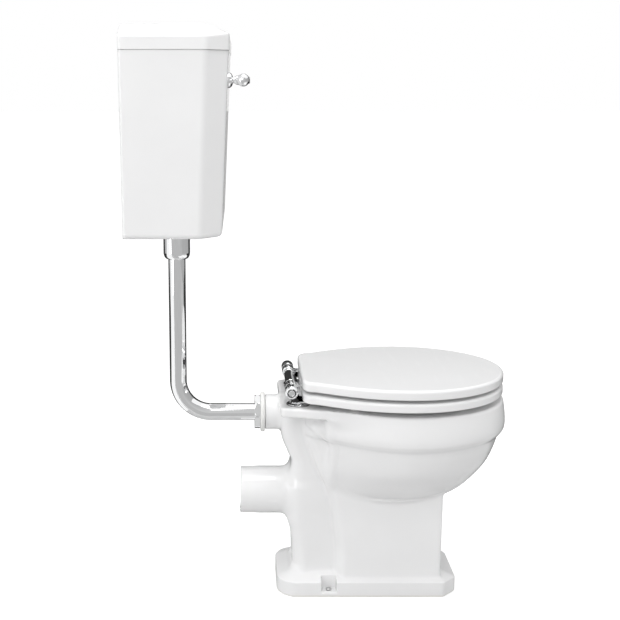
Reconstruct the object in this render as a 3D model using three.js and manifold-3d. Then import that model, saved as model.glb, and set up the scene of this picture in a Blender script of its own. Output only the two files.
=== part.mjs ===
// A low-level toilet: a wall-hung cistern, a bent flush pipe, and a ceramic pan with a hinged seat.
// Millimetres, +Z up. +X runs from the wall to the front of the pan, the wall's face is X = 0 while
// building, and the floor is Z = 0. The finished group is moved so that its box is centred on X = 0.
import * as THREE from 'three';
import { mergeVertices } from 'three/addons/utils/BufferGeometryUtils.js';
import Module from 'manifold-3d';

const wasm = await Module();
wasm.setup();

// ---------------------------------------------------------------- clearances
const SEAT_GAP = 0.3; // between pieces that rest on or against each other
const RUN_GAP = 0.6; // round a pin, rod or spindle that turns or slides
const CUT_PAST = 2; // how far a cutting solid runs past the face it opens
const SLIVER = 0.02; // edges and faces thinner than this are merged away
const CASTING_DETAIL = 0.15; // the same for the pan, whose surfaces are hand-finished in the mould

// ---------------------------------------------------------------- pan
const PAN_TOP = 424; // deck and rim height
const PAN_WALL = 15;
const UNDERSIDE_TOP = 186; // how high the pedestal is hollow from below
const RIM_FRONT = 780; // foremost point of the rim, from the wall
const RIM_BACK = 366; // back of the bowl's outline, under the deck
const RIM_HALF = 187; // half the rim's greatest width
const EGG_CENTRE = 560; // where the outlines of rim, bowl and seat are widest
const RIM_LAND = 55; // width of the rim's flat top, from the widest outline to the opening
const RIM_LIP = 10; // thickness of the inner lip that hides the flush channel
const RIM_LIP_DROP = 44; // how far that lip hangs below the rim's top
const RIM_SKIN = 12; // thickness of the rim's top over the flush channel
const OPENING_BACK = 418; // back of the hole in the rim

// Outer profile of rim band and bowl, as [height, how far the outline lies inside the widest one]
const BOWL_PROFILE = [
  [205, 128], [221, 98], [240, 75], [265, 53], [300, 29], [338, 13.5],
  [347, 5], [358, 0], [390, 1.5], [412, 5], [421, 9.5], [PAN_TOP, 14],
];
// Inside of the bowl below the rim, as [height, back, front, half width]
const SUMP_PROFILE = [
  [150, 464, 536, 35], [166, 460, 554, 43], [182, 456, 578, 50],
  [206, 447, 634, 67], [228, 435, 670, 86], [260, 416, 704, 114],
  [296, 401, 732, 140], [346, 388, 756, 163],
];

const DECK_BACK = 301;
const DECK_THICK = 19;
const DECK_HALF_BACK = 111;
const DECK_HALF_FRONT = 134;
const DECK_FRONT = 412; // where the deck's straight sides run into the rim
const DECK_EDGE = 6; // rounding of the deck's edge

const PEDESTAL_BACK = 420;
const PEDESTAL_FRONT = 645;
const PEDESTAL_HALF = 79;
const PEDESTAL_CORNER = 15;

const LEG_HALF = 60; // half width of the trap leg behind the pedestal
const LEG_CORNER = 32;
// Back edge of the trap leg, as [height, distance from the wall, half width]
const LEG_PROFILE = [
  [0, 322, LEG_HALF + 6], [36, 322, LEG_HALF + 6], [46, 329, LEG_HALF + 2], [60, 332, LEG_HALF],
  [90, 330, LEG_HALF], [134, 325, LEG_HALF], [150, 317, LEG_HALF - 2], [160, 303, 48], [256, 303, 48],
  [266, 317, LEG_HALF - 4], [280, 327, LEG_HALF], [305, 319, LEG_HALF], [344, 305, LEG_HALF],
  [372, 303, LEG_HALF + 2], [PAN_TOP - DECK_THICK + 1, 303, LEG_HALF + 4],
];

const FOOT_BACK = 297.5;
const FOOT_FRONT = 680;
const FOOT_HALF = 92.5;
const FOOT_HEIGHT = 33.5;
const FOOT_BEVEL = 13; // how far the foot's sloping top runs in
const FOOT_BEVEL_RISE = 8;
const FOOT_CHAMFER = 30; // cut across the two front corners
const FOOT_CORNER = 18; // radius where that cut meets the sides and the front
const FOOT_BACK_CORNER = 48; // radius of the two back corners

const NOTCH_X = 407.5; // middle of the fixing notch in each side of the foot
const NOTCH_LONG = 31;
const NOTCH_FLOOR = 12;
const NOTCH_DEEP = 25; // from the foot's side inwards
const FLOOR_SCREW_R = 3;
const FLOOR_SCREW_HEAD_R = 6.5;
const FLOOR_SCREW_IN = 14; // from the foot's side to the screw

const OUTLET_END = 219.5;
const OUTLET_Z = 209;
const OUTLET_R = 49;
const TRAP_R = 38; // bore of the trapway
const TRAP_WALL = 10;
const TRAP_BEND = 56; // radius of the trapway's bends, at its middle line
const SUMP_X = 500; // middle of the trapway's downward limb
const TRAP_TOP = 205; // where that limb starts, inside the bowl
const TRAP_DIP_Z = 140; // centre of the U bend, which sets the depth of the water seal

const INLET_Z = 383.5; // middle of the flush inlet and of the pipe's level run
const INLET_FACE = 271; // end of the inlet spigot
const INLET_R = 36.8;
const INLET_SOCKET_R = 26;
const INLET_SOCKET_DEEP = 34;
const INLET_BORE_R = 21;

// ---------------------------------------------------------------- seat and its hinge
const SEAT_FRONT = 772;
const SEAT_BACK = 345;
const SEAT_HALF = 187;
const SEAT_BACK_HALF = 128;
const SEAT_CORNER = 36;
const BUFFER_UNDER_RING = 12.5; // gap between rim and ring
const RING_THICK = 18.5;
const BUFFER_UNDER_LID = 7; // gap between ring and lid
const LID_THICK = 20;
const RING_WIDTH = 56; // from the ring's outer edge to its hole
const RING_HOLE_BACK = 412;
const SEAT_EDGE = 7; // rounding of the upper edges
const BUFFER_R = 8.5;
const BUFFER_PLACES = [['back', 450, 120], ['front', 668, 115]]; // [name, x, y]

const HINGE_X = 323;
const HINGE_Z = 455.6;
const HINGE_ROD_R = 4;
const BARREL_R = 12.5;
const POST_Y = 78; // middle of each hinge post
const POST_WIDTH = 24;
const KNUCKLE_WIDTH = 12;
const CAP_WIDTH = 8;
const ROD_IN_CAP = 4; // how far the rod runs into each end cap
const POST_DISC_R = 23.5;
const POST_DISC_X = 338;
const POST_DISC_THICK = 4;
const STUD_R = 4;
const PLUG_R = 7.5;
const ARM_THICK = 3;
const ARM_REACH = 384; // front end of the hinge arms
const SLEEVE_R = 10;

// ---------------------------------------------------------------- cistern
const CISTERN_BOTTOM = 787;
const CISTERN_TOP = 1129;
const CISTERN_HALF_TOP = 249;
const CISTERN_HALF_BOTTOM = CISTERN_HALF_TOP - 14; // the sides taper towards the bottom
const CISTERN_DEPTH_TOP = 197.5;
const CISTERN_DEPTH_BOTTOM = CISTERN_DEPTH_TOP - 13.5;
const CISTERN_CHAMFER = 40; // leg of the cut across the two front corners
const CISTERN_WALL = 8;
const CISTERN_FLOOR = 10;
const CISTERN_EDGE = 9; // rounding of the bottom edges
const CORNER_SOFT = 18; // radius where the chamfers meet the faces
const CORNER_BACK = 7; // radius of the back corners

const LID_OVERHANG = 1.5;
const LID_SIDE = 25; // height of the lid's upright edge
const LID_RISE = 22; // height of the sloping part
const LID_RUN = 52; // how far the slope runs in at the sides
const LID_RUN_FRONT = 45;
const LID_FRONT_STEP = 5; // how much taller the upright edge is across the front
const LID_TOP_CHAMFER = 8; // what is left of the corner cuts at the top
const LID_SKIN = 9;
const LID_LIP_DROP = 10;
const LID_LIP_THICK = 5;
const LID_LIP_PLAY = 2; // round the locating lip, inside the body

const WALL_SCREW_Y = 150;
const WALL_SCREW_Z = CISTERN_TOP - 67;
const WALL_SCREW_R = 3;
const WALL_SCREW_HEAD_R = 6.5;

// ---------------------------------------------------------------- flush pipe and its unions
const PIPE_X = 87;
const PIPE_R = 17.9;
const PIPE_WALL = 1.3;
const PIPE_BEND = 70;
const PIPE_IN_SOCKET = 24; // how far the pipe runs into the pan's inlet
const UNION_R = 27.5;
const UNION_BOTTOM = CISTERN_BOTTOM - 72.5;
const UNION_ROUND = 13.5; // height of the union's rounded bottom
const UNION_TOP = CISTERN_BOTTOM - 22;
const PAN_NUT_LONG = 12;
const PAN_NUT_R = 37.5;
const COLLAR_R = 42.3;
const COLLAR_THICK = 9.1;
const CONE_LONG = 28;

// ---------------------------------------------------------------- flush works
const TAIL_R = 24;
const TAIL_BOTTOM = CISTERN_BOTTOM - 49;
const SIPHON_BORE_R = 17;
const SIPHON_TUBE_R = 20.5;
const SIPHON_TOP = CISTERN_TOP - 119; // middle line of the siphon's return bend
const SIPHON_FLANGE_R = 35;
const BELL_X = 122;
const BELL_Y = -83;
const BELL_R = 46;
const BELL_WALL = 3;
const BELL_HEIGHT = 78;
const BELL_LIFT = 9; // the bell's mouth above the cistern's floor
const BACK_NUT_R = 33;
const BACK_NUT_HIGH = 14;
const WASHER_THICK = 3;
const SIPHON_FLANGE_THICK = 6;
const ROD_R = 3;
const PISTON_THICK = 4;

const LEVER_Y = -140;
const LEVER_Z = CISTERN_TOP - 53;
const LEVER_THROW = 35; // degrees
const SPINDLE_R = 4.5;
const BOSS_R = 14.3;
const BOSS_LONG = 9;
const BUSH_R = 9;
const HANDLE_LONG = 62; // spindle to the middle of the handle's ball
const HANDLE_BALL_R = 11.5;
const HANDLE_OUT = 19.5; // middle of the handle, out from the boss
const CRANK_LONG = 62;
const CRANK_PIN_R = 3;
const CRANK_THICK = 4;
const YOKE_SLOT_LONG = 21;
const YOKE_SLOT_HIGH = 8.6;
const YOKE_RIM = 4;
const YOKE_THICK = 6;

// ---------------------------------------------------------------- fill valve
const VALVE_X = 110;
const VALVE_Y = CISTERN_HALF_BOTTOM - 65;
const VALVE_R = 14;
const VALVE_TOP = CISTERN_TOP - 117;
const VALVE_TAIL_R = 10;
const VALVE_TAIL_BOTTOM = CISTERN_BOTTOM - 35;
const VALVE_NUT_R = 16;
const VALVE_NUT_HIGH = 10;
const FLOAT_PIVOT_Y = VALVE_Y - 16;
const FLOAT_PIVOT_Z = VALVE_TOP + 22;
const FLOAT_ARM_LONG = 88;
const FLOAT_ARM_R = 3;
const FLOAT_REST = 48; // degrees below level with the cistern empty
const FLOAT_BALL_R = 42;
const FLOAT_PIN_R = 2;
const FLOAT_PIN_HALF = 10.5;

// ---------------------------------------------------------------- finishes
const finish = (color, roughness, metalness = 0) => ({ color, roughness, metalness });
const CERAMIC = finish(0xf4f4f2, 0.12);
const SEAT_WHITE = finish(0xf6f6f5, 0.25);
const CHROME = finish(0xd9dbde, 0.08, 1);
const BRASS = finish(0xb9974f, 0.35, 1);
const RUBBER = finish(0x2c2c2c, 0.8);
const SOFT_WHITE = finish(0xe9e9e6, 0.45);
const PLASTIC = finish(0xe4e5e3, 0.4);
const STEEL = finish(0xb4b7ba, 0.35, 1);

const model = new THREE.Group();
model.name = 'low_level_toilet';

/** Adds one closed geometry to the model as a named piece with a material of its own. */
function piece(name, geometry, look) {
  const mesh = new THREE.Mesh(geometry, new THREE.MeshStandardMaterial(look));
  mesh.name = name;
  model.add(mesh);
  return mesh;
}

// ---------------------------------------------------------------- closed surfaces
const SIDES = 14; // sides of small round pieces
const FINE_SIDES = 20; // sides of the pipe, its unions, the inlet and the outlet
const OUTLINE_POINTS = 32;

/** Signed volume, which is negative where the faces point in. */
function signedVolume(positions, index) {
  let sum = 0;
  const [a, b, c] = [new THREE.Vector3(), new THREE.Vector3(), new THREE.Vector3()];
  for (let i = 0; i < index.length; i += 3) {
    a.fromArray(positions, index[i] * 3);
    b.fromArray(positions, index[i + 1] * 3);
    c.fromArray(positions, index[i + 2] * 3);
    sum += a.dot(b.cross(c)) / 6;
  }
  return sum;
}

/** An indexed geometry of these points and triangles, turned so that its faces point out. */
function closedGeometry(points, triangles) {
  const positions = new Float32Array(points.flatMap((p) => [p.x, p.y, p.z]));
  const index = triangles.flat();
  if (signedVolume(positions, index) < 0) {
    index.reverse();
  }
  const geometry = new THREE.BufferGeometry();
  geometry.setAttribute('position', new THREE.BufferAttribute(positions, 3));
  geometry.setIndex(index);
  return geometry;
}

/** A skin over loops of equal point counts: capped at both ends, or joined round into a ring. */
function skin(loops, joined = false) {
  const count = loops[0].length;
  const points = loops.flat();
  const triangles = [];
  const last = joined ? loops.length : loops.length - 1;
  for (let row = 0; row < last; row += 1) {
    const next = (row + 1) % loops.length;
    for (let i = 0; i < count; i += 1) {
      const j = (i + 1) % count;
      const corners = [row * count + i, row * count + j, next * count + j, next * count + i];
      triangles.push([corners[0], corners[1], corners[2]], [corners[0], corners[2], corners[3]]);
    }
  }
  if (!joined) {
    [[0, true], [loops.length - 1, false]].forEach(([row, flipped]) => {
      const middle = points.length;
      const centre = new THREE.Vector3();
      loops[row].forEach((p) => centre.addScaledVector(p, 1 / count));
      points.push(centre);
      for (let i = 0; i < count; i += 1) {
        const [a, b] = [row * count + i, row * count + ((i + 1) % count)];
        triangles.push(flipped ? [middle, b, a] : [middle, a, b]);
      }
    });
  }
  return closedGeometry(points, triangles);
}

const lift = (loop, z) => loop.map((p) => new THREE.Vector3(p.x, p.y, z));

/** A closed outline moved outwards by a distance along its normals. */
function offsetLoop(loop, distance) {
  return loop.map((p, i) => {
    const before = loop.at(i - 1);
    const after = loop[(i + 1) % loop.length];
    const a = new THREE.Vector2(p.y - before.y, before.x - p.x).normalize();
    const b = new THREE.Vector2(after.y - p.y, p.x - after.x).normalize();
    const along = a.clone().add(b).divideScalar(1 + a.dot(b));
    return new THREE.Vector2(p.x, p.y).addScaledVector(along, distance);
  });
}

/** A closed outline from corners [x, y, radius], each rounded by an arc of a few steps. */
function roundedLoop(corners, steps = 4) {
  return corners.flatMap(([x, y, radius], i) => {
    const here = new THREE.Vector2(x, y);
    const back = new THREE.Vector2(...corners.at(i - 1)).sub(here).normalize();
    const on = new THREE.Vector2(...corners[(i + 1) % corners.length]).sub(here).normalize();
    const half = Math.acos(THREE.MathUtils.clamp(back.dot(on), -1, 1)) / 2;
    const bisector = back.clone().add(on).normalize();
    const centre = here.clone().addScaledVector(bisector, radius / Math.sin(half));
    const from = here.clone().addScaledVector(back, radius / Math.tan(half)).sub(centre);
    const turn = Math.PI - 2 * half;
    const way = Math.sign(back.cross(on)) || 1;
    return Array.from({ length: steps + 1 }, (_, k) => {
      const spoke = from.clone().rotateAround(new THREE.Vector2(), (-way * turn * k) / steps);
      return spoke.add(centre);
    });
  });
}

/** The same corners on both sides of Y = 0: those given lie on the -Y side, from back to front. */
function mirroredLoop(corners, steps) {
  const far = corners.map(([x, y, radius]) => [x, -y, radius]).reverse();
  return roundedLoop([...corners, ...far], steps);
}

/** An egg outline: half an ellipse in front, a fuller curve behind, and a blunt, rounded back. */
function eggLoop({
  front, back, half, backHalf = 0.69 * half, corner = 0.2 * half, centre = EGG_CENTRE,
}) {
  const reach = centre - back;
  const quarter = (side) => [
    [centre - 0.37 * reach, side * half], [centre - 0.63 * reach, side * (half + backHalf) / 2],
    [back + 0.12 * reach, side * backHalf],
  ];
  const [near, far] = [quarter(-1), quarter(1)];
  const shape = new THREE.Shape();
  shape.moveTo(back, 0);
  shape.lineTo(back, corner - backHalf);
  shape.quadraticCurveTo(back, -backHalf, ...near[2]);
  shape.bezierCurveTo(...near[1], ...near[0], centre, -half);
  shape.absellipse(centre, 0, front - centre, half, -Math.PI / 2, Math.PI / 2, false, 0);
  shape.bezierCurveTo(...far[0], ...far[1], ...far[2]);
  shape.quadraticCurveTo(back, backHalf, back, backHalf - corner);
  shape.lineTo(back, 0);
  return shape.getSpacedPoints(OUTLINE_POINTS).slice(0, -1);
}

/** A turned piece: [radius, distance] pairs carried round an axis through origin. */
function turned(profile, origin, axis = 'z', sides = SIDES) {
  const outline = profile.map(([radius, along]) => new THREE.Vector2(Math.max(radius, 0), along));
  const geometry = new THREE.LatheGeometry(outline, sides);
  if (axis === 'z') {
    geometry.rotateX(Math.PI / 2);
  }
  if (axis === 'x') {
    geometry.rotateZ(-Math.PI / 2);
  }
  geometry.translate(...origin);
  return solidify(geometry);
}

/** A closed hollow or solid turned from a profile that closes on itself. */
const turnedRing = (profile, origin, axis, sides) =>
  turned([...profile, profile[0]], origin, axis, sides);

/** A plain round bar between two distances along an axis. */
function bar(radius, from, to, origin, axis = 'z', sides = SIDES) {
  return turned([[0, from], [radius, from], [radius, to], [0, to]], origin, axis, sides);
}

/** A washer, sleeve or tube between two distances along an axis. */
function sleeve(outer, inner, from, to, origin, axis = 'z', sides = SIDES) {
  return turnedRing([[inner, from], [outer, from], [outer, to], [inner, to]], origin, axis, sides);
}

/** An upright block between two heights, from a plan outline. */
const slab = (loop, from, to) => solidify(skin([lift(loop, from), lift(loop, to)]));

/** A box from its lowest to its highest corner. */
function block(low, high) {
  const size = high.map((value, i) => value - low[i]);
  const geometry = new THREE.BoxGeometry(...size);
  geometry.translate(...low.map((value, i) => value + size[i] / 2));
  return solidify(geometry);
}

/** Points of an arc about a centre, between two angles in degrees, in the plane of X and Z. */
function arcPoints(x, z, radius, from, to, steps) {
  return Array.from({ length: steps + 1 }, (_, k) => {
    const turn = THREE.MathUtils.degToRad(from + ((to - from) * k) / steps);
    return new THREE.Vector2(x + radius * Math.cos(turn), z + radius * Math.sin(turn));
  });
}

/** Round loops along a line in the plane Y = 0, square to it at each point. */
function loopsAlong(points, radius, sides) {
  return points.map((p, i) => {
    const before = points[Math.max(i - 1, 0)];
    const after = points[Math.min(i + 1, points.length - 1)];
    const along = after.clone().sub(before).normalize();
    const across = new THREE.Vector2(-along.y, along.x);
    return Array.from({ length: sides }, (_, k) => {
      const turn = (2 * Math.PI * k) / sides;
      const out = radius * Math.cos(turn);
      const side = radius * Math.sin(turn);
      return new THREE.Vector3(p.x + across.x * out, side, p.y + across.y * out);
    });
  });
}

// ---------------------------------------------------------------- solids that are joined and cut
/** A geometry as a solid for joining and cutting. */
function solidify(geometry) {
  const bare = geometry.clone();
  bare.deleteAttribute('normal');
  bare.deleteAttribute('uv');
  const merged = mergeVertices(bare, 1e-4);
  const triVerts = new Uint32Array(merged.index.array);
  const vertProperties = new Float32Array(merged.attributes.position.array);
  if (signedVolume(vertProperties, triVerts) < 0) {
    triVerts.reverse();
  }
  return new wasm.Manifold(new wasm.Mesh({ numProp: 3, vertProperties, triVerts }));
}

/** A solid as a geometry for a piece, without edges and faces finer than a tolerance. */
function geometryOf(solid, finest = SLIVER) {
  const { vertProperties, triVerts } = solid.simplify(finest).getMesh();
  const geometry = new THREE.BufferGeometry();
  geometry.setAttribute('position', new THREE.BufferAttribute(new Float32Array(vertProperties), 3));
  geometry.setIndex(new THREE.BufferAttribute(new Uint32Array(triVerts), 1));
  return geometry;
}

const joined = (...solids) => solids.reduce((whole, part) => whole.add(part));
const mirroredPair = (make) => joined(make(-1), make(1));

const SIDE_NAMES = [['near', -1], ['far', 1]];

/** One piece on each side of Y = 0, made by the same function. */
function piecePair(name, make, look) {
  for (const [side, sign] of SIDE_NAMES) {
    piece(`${name}_${side}`, geometryOf(make(sign)), look);
  }
}

// ---------------------------------------------------------------- pan
const rimEgg = (inset, back = RIM_BACK + Math.min(inset, 60)) =>
  eggLoop({ front: RIM_FRONT - inset, back, half: RIM_HALF - inset });

function bowlOutside() {
  return solidify(skin(BOWL_PROFILE.map(([z, inset]) => lift(rimEgg(inset), z))));
}

function deck() {
  const corners = [
    [DECK_BACK, -DECK_HALF_BACK, 14], [DECK_FRONT, -DECK_HALF_FRONT, 12],
    [EGG_CENTRE - 60, -DECK_HALF_FRONT, 12],
  ];
  const outline = mirroredLoop(corners, 4);
  const under = PAN_TOP - DECK_THICK;
  const heights = [
    [under, -DECK_EDGE], [under + DECK_EDGE, 0], [PAN_TOP - DECK_EDGE, 0],
    [PAN_TOP - 1.5, -1.5], [PAN_TOP, -4],
  ];
  return solidify(skin(heights.map(([z, out]) => lift(offsetLoop(outline, out), z))));
}

function pedestal(inset = 0, top = BOWL_PROFILE[3][0], bottom = 0) {
  const side = inset - PEDESTAL_HALF;
  const corners = [
    [PEDESTAL_BACK + inset, side, 9], [PEDESTAL_FRONT - inset, side, PEDESTAL_CORNER],
  ];
  return slab(mirroredLoop(corners, 4), bottom, top);
}

function trapLeg(inset = 0, rows = LEG_PROFILE) {
  const front = PEDESTAL_BACK + 2 * LEG_CORNER;
  const loops = rows.map(([z, back, half]) => {
    const corners = [[back + inset, inset - half, LEG_CORNER - inset], [front, inset - half, 2]];
    return lift(mirroredLoop(corners, 4), z);
  });
  return solidify(skin(loops));
}

function foot() {
  const corners = [
    [FOOT_BACK, -FOOT_HALF, FOOT_BACK_CORNER], [FOOT_FRONT - FOOT_CHAMFER, -FOOT_HALF, FOOT_CORNER],
    [FOOT_FRONT, FOOT_CHAMFER - FOOT_HALF, FOOT_CORNER],
  ];
  const outline = mirroredLoop(corners, 5);
  const rows = [
    [0, -1.5], [1.5, 0], [FOOT_HEIGHT - 3, 0], [FOOT_HEIGHT, -2.5],
    [FOOT_HEIGHT + FOOT_BEVEL_RISE, -FOOT_BEVEL],
  ];
  return solidify(skin(rows.map(([z, out]) => lift(offsetLoop(outline, out), z))));
}

function fixingNotch(side) {
  const outer = side * (FOOT_HALF + CUT_PAST);
  const inner = side * (FOOT_HALF - NOTCH_DEEP);
  const [low, high] = [Math.min(outer, inner), Math.max(outer, inner)];
  const half = NOTCH_LONG / 2;
  const top = FOOT_HEIGHT + FOOT_BEVEL_RISE + CUT_PAST;
  const pocket = block([NOTCH_X - half, low, NOTCH_FLOOR], [NOTCH_X + half, high, top]);
  const y = side * (FOOT_HALF - FLOOR_SCREW_IN);
  const hole = bar(FLOOR_SCREW_R + RUN_GAP, -CUT_PAST, NOTCH_FLOOR + 1, [NOTCH_X, y, 0]);
  return pocket.add(hole);
}

/** The trapway: down from the sump, round the U bend, up, and over the weir to the outlet. */
function trapTube(radius, endX) {
  const points = [
    new THREE.Vector2(SUMP_X, TRAP_TOP),
    ...arcPoints(SUMP_X - TRAP_BEND, TRAP_DIP_Z, TRAP_BEND, 0, -180, 8),
    ...arcPoints(SUMP_X - 3 * TRAP_BEND, OUTLET_Z - TRAP_BEND, TRAP_BEND, 0, 90, 4),
    new THREE.Vector2(endX, OUTLET_Z),
  ];
  return solidify(skin(loopsAlong(points, radius, SIDES)));
}

/** One level of the bowl's inside, whose widest place moves back as it narrows to the sump. */
function sumpLoop([z, back, front, half], outwards = 0) {
  const centre = Math.min(EGG_CENTRE, (back + front) / 2);
  const egg = eggLoop({ front, back, half, centre });
  return lift(offsetLoop(egg, outwards), z);
}

/** The bowl's inside, from the sump up to the flush channel under the rim. */
function bowlInside() {
  const top = PAN_TOP - RIM_SKIN;
  const upper = [top - 14, top].map((z, i) => {
    const inset = 4 + PAN_WALL + 2 + 6 * i;
    return sumpLoop([z, RIM_BACK + PAN_WALL + 6, RIM_FRONT - inset, RIM_HALF - inset]);
  });
  return solidify(skin([...SUMP_PROFILE.map((row) => sumpLoop(row)), ...upper]));
}

/** The wall round the sump, where it hangs in the hollow pedestal. */
function sumpOutside() {
  const rows = SUMP_PROFILE.filter(([z]) => z < UNDERSIDE_TOP + PAN_WALL * 2);
  return solidify(skin(rows.map((row) => sumpLoop(row, TRAP_WALL))));
}

const openingEgg = (outwards = 0) => eggLoop({
  front: RIM_FRONT - RIM_LAND + outwards,
  back: OPENING_BACK - outwards,
  half: RIM_HALF - RIM_LAND + outwards,
});

function rimLip() {
  const from = PAN_TOP - RIM_LIP_DROP;
  return slab(openingEgg(RIM_LIP), from, PAN_TOP - 1);
}

function rimOpening() {
  return slab(openingEgg(), PAN_TOP - RIM_LIP_DROP - CUT_PAST, PAN_TOP + CUT_PAST);
}

const alongX = [0, 0, INLET_Z];

/** The flush inlet: a socket for the pipe, and a bore on into the channel under the rim. */
function inletBore() {
  const shoulder = INLET_FACE + INLET_SOCKET_DEEP;
  const socket = bar(INLET_SOCKET_R, INLET_FACE - CUT_PAST, shoulder, alongX, 'x', FINE_SIDES);
  return socket.add(bar(INLET_BORE_R, shoulder - 1, RIM_BACK + PAN_WALL + 12, alongX, 'x'));
}

/** A hole through the deck for one hinge post's rubber plug. */
function deckHole(side) {
  const [from, to] = [PAN_TOP - DECK_THICK - CUT_PAST, PAN_TOP + CUT_PAST];
  return bar(PLUG_R + SEAT_GAP, from, to, [POST_DISC_X, side * POST_Y, 0]);
}

/** The pan: one casting whose bowl, rim channel, trapway, inlet and underside are all open. */
function pan() {
  const outside = joined(
    bowlOutside(), deck(), pedestal(), trapLeg(), foot(),
    bar(OUTLET_R, OUTLET_END, PEDESTAL_BACK - 40, [0, 0, OUTLET_Z], 'x', FINE_SIDES),
    bar(INLET_R, INLET_FACE, DECK_BACK + 40, alongX, 'x', FINE_SIDES),
  );
  const legRows = [[-CUT_PAST, 332, LEG_HALF], [150, 332, LEG_HALF]];
  const underside = joined(
    pedestal(PAN_WALL, UNDERSIDE_TOP, -CUT_PAST), trapLeg(PAN_WALL, legRows),
  );
  const lip = rimLip().subtract(rimOpening());
  return outside
    .subtract(underside)
    .add(trapTube(TRAP_R + TRAP_WALL, OUTLET_END + TRAP_R))
    .add(sumpOutside())
    .subtract(bowlInside())
    .add(lip)
    .subtract(rimOpening())
    .subtract(trapTube(TRAP_R, OUTLET_END - CUT_PAST))
    .subtract(inletBore())
    .subtract(mirroredPair((side) => fixingNotch(side)))
    .subtract(mirroredPair((side) => deckHole(side)));
}

const panSolid = pan();
piece('pan', geometryOf(panSolid, CASTING_DETAIL), CERAMIC);

function floorScrew(side) {
  const origin = [NOTCH_X, side * (FOOT_HALF - FLOOR_SCREW_IN), 0];
  const under = NOTCH_FLOOR + SEAT_GAP;
  return turned([
    [0, 3], [FLOOR_SCREW_R, 6], [FLOOR_SCREW_R, under], [FLOOR_SCREW_HEAD_R, under],
    [FLOOR_SCREW_HEAD_R, under + 1.5], [FLOOR_SCREW_HEAD_R * 0.6, under + 3.5], [0, under + 4],
  ], origin);
}
piecePair('floor_screw', floorScrew, STEEL);

// ---------------------------------------------------------------- seat
const RING_BOTTOM = PAN_TOP + BUFFER_UNDER_RING;
const RING_TOP = RING_BOTTOM + RING_THICK;
const LID_BOTTOM = RING_TOP + BUFFER_UNDER_LID;
const LID_TOP = LID_BOTTOM + LID_THICK;

const seatEgg = (inset = 0) => eggLoop({
  front: SEAT_FRONT - inset, back: SEAT_BACK + inset, half: SEAT_HALF - inset,
  backHalf: SEAT_BACK_HALF - inset, corner: SEAT_CORNER * (1 - inset / SEAT_BACK_HALF),
});

/** Edge rows [height, inset] of a board with a rounded top edge and an eased bottom edge. */
function boardEdge(bottom, top, rounding) {
  const steps = 2;
  const upper = Array.from({ length: steps + 1 }, (_, k) => {
    const turn = (Math.PI / 2) * (k / steps);
    return [top - rounding + rounding * Math.sin(turn), rounding * (1 - Math.cos(turn))];
  });
  return [[bottom, 2], [bottom + 2, 0], ...upper];
}

function seatRing() {
  const edge = boardEdge(RING_BOTTOM, RING_TOP, SEAT_EDGE);
  const hole = (inset) => eggLoop({
    front: SEAT_FRONT - RING_WIDTH + inset,
    back: RING_HOLE_BACK - inset,
    half: SEAT_HALF - RING_WIDTH + inset,
  });
  const outer = edge.map(([z, inset]) => lift(seatEgg(inset), z));
  const inner = edge.map(([z, inset]) => lift(hole(inset), z)).reverse();
  return skin([...outer, ...inner], true);
}
piece('seat_ring', seatRing(), SEAT_WHITE);

function seatLid() {
  const crown = [[LID_TOP + 0.6, 60], [LID_TOP + 0.9, 120]];
  const rows = [...boardEdge(LID_BOTTOM, LID_TOP, SEAT_EDGE), ...crown];
  return skin(rows.map(([z, inset]) => lift(seatEgg(inset), z)));
}
piece('seat_lid', seatLid(), SEAT_WHITE);

/** Round pads in two pairs, one towards the back and one towards the front. */
function bufferPairs(name, bottom, height) {
  for (const [place, x, y] of BUFFER_PLACES) {
    const pad = (side) => turned([
      [0, bottom], [BUFFER_R - 1.5, bottom], [BUFFER_R, bottom + 1.5], [BUFFER_R, bottom + height],
      [0, bottom + height],
    ], [x, side * y, 0], 'z', 12);
    piecePair(`${name}_${place}`, pad, SOFT_WHITE);
  }
}
bufferPairs('ring_buffer', PAN_TOP + SEAT_GAP, BUFFER_UNDER_RING - 2 * SEAT_GAP);
bufferPairs('lid_buffer', RING_TOP + SEAT_GAP, BUFFER_UNDER_LID - 2 * SEAT_GAP);

// ---------------------------------------------------------------- seat hinge
const HINGE_AXIS = [HINGE_X, 0, HINGE_Z];
const POST_IN = POST_Y - POST_WIDTH / 2; // inner end of the post's barrel
const POST_OUT = POST_Y + POST_WIDTH / 2;
const KNUCKLE_OUT = POST_OUT + SEAT_GAP + KNUCKLE_WIDTH;
const KNUCKLE_IN = POST_IN - SEAT_GAP - KNUCKLE_WIDTH;
const CAP_IN = KNUCKLE_OUT + SEAT_GAP;
const ROD_END = CAP_IN + ROD_IN_CAP;

/** A stretch along Y on one side, put in ascending order. */
const span = (side, from, to) => (side > 0 ? [from, to] : [-to, -from]);

function barrel(side, from, to, radius = BARREL_R) {
  const [low, high] = span(side, from, to);
  const ease = 1;
  return turnedRing([
    [HINGE_ROD_R + RUN_GAP, low], [radius - ease, low], [radius, low + ease], [radius, high - ease],
    [radius - ease, high], [HINGE_ROD_R + RUN_GAP, high],
  ], HINGE_AXIS, 'y');
}

/** A block across part of one side, from an outline in the plane of X and Z. */
function plateAcross(side, from, to, outline) {
  const high = span(side, from, to)[1];
  const shape = new THREE.Shape(outline.map(([x, z]) => new THREE.Vector2(x, z)));
  const geometry = new THREE.ExtrudeGeometry(shape, { depth: to - from, bevelEnabled: false });
  geometry.rotateX(Math.PI / 2);
  geometry.translate(0, high, 0);
  return solidify(geometry);
}

/** Cuts the running bore for the rod. */
const rodBore = () => bar(HINGE_ROD_R + RUN_GAP, -ROD_END, ROD_END, HINGE_AXIS, 'y');

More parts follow.
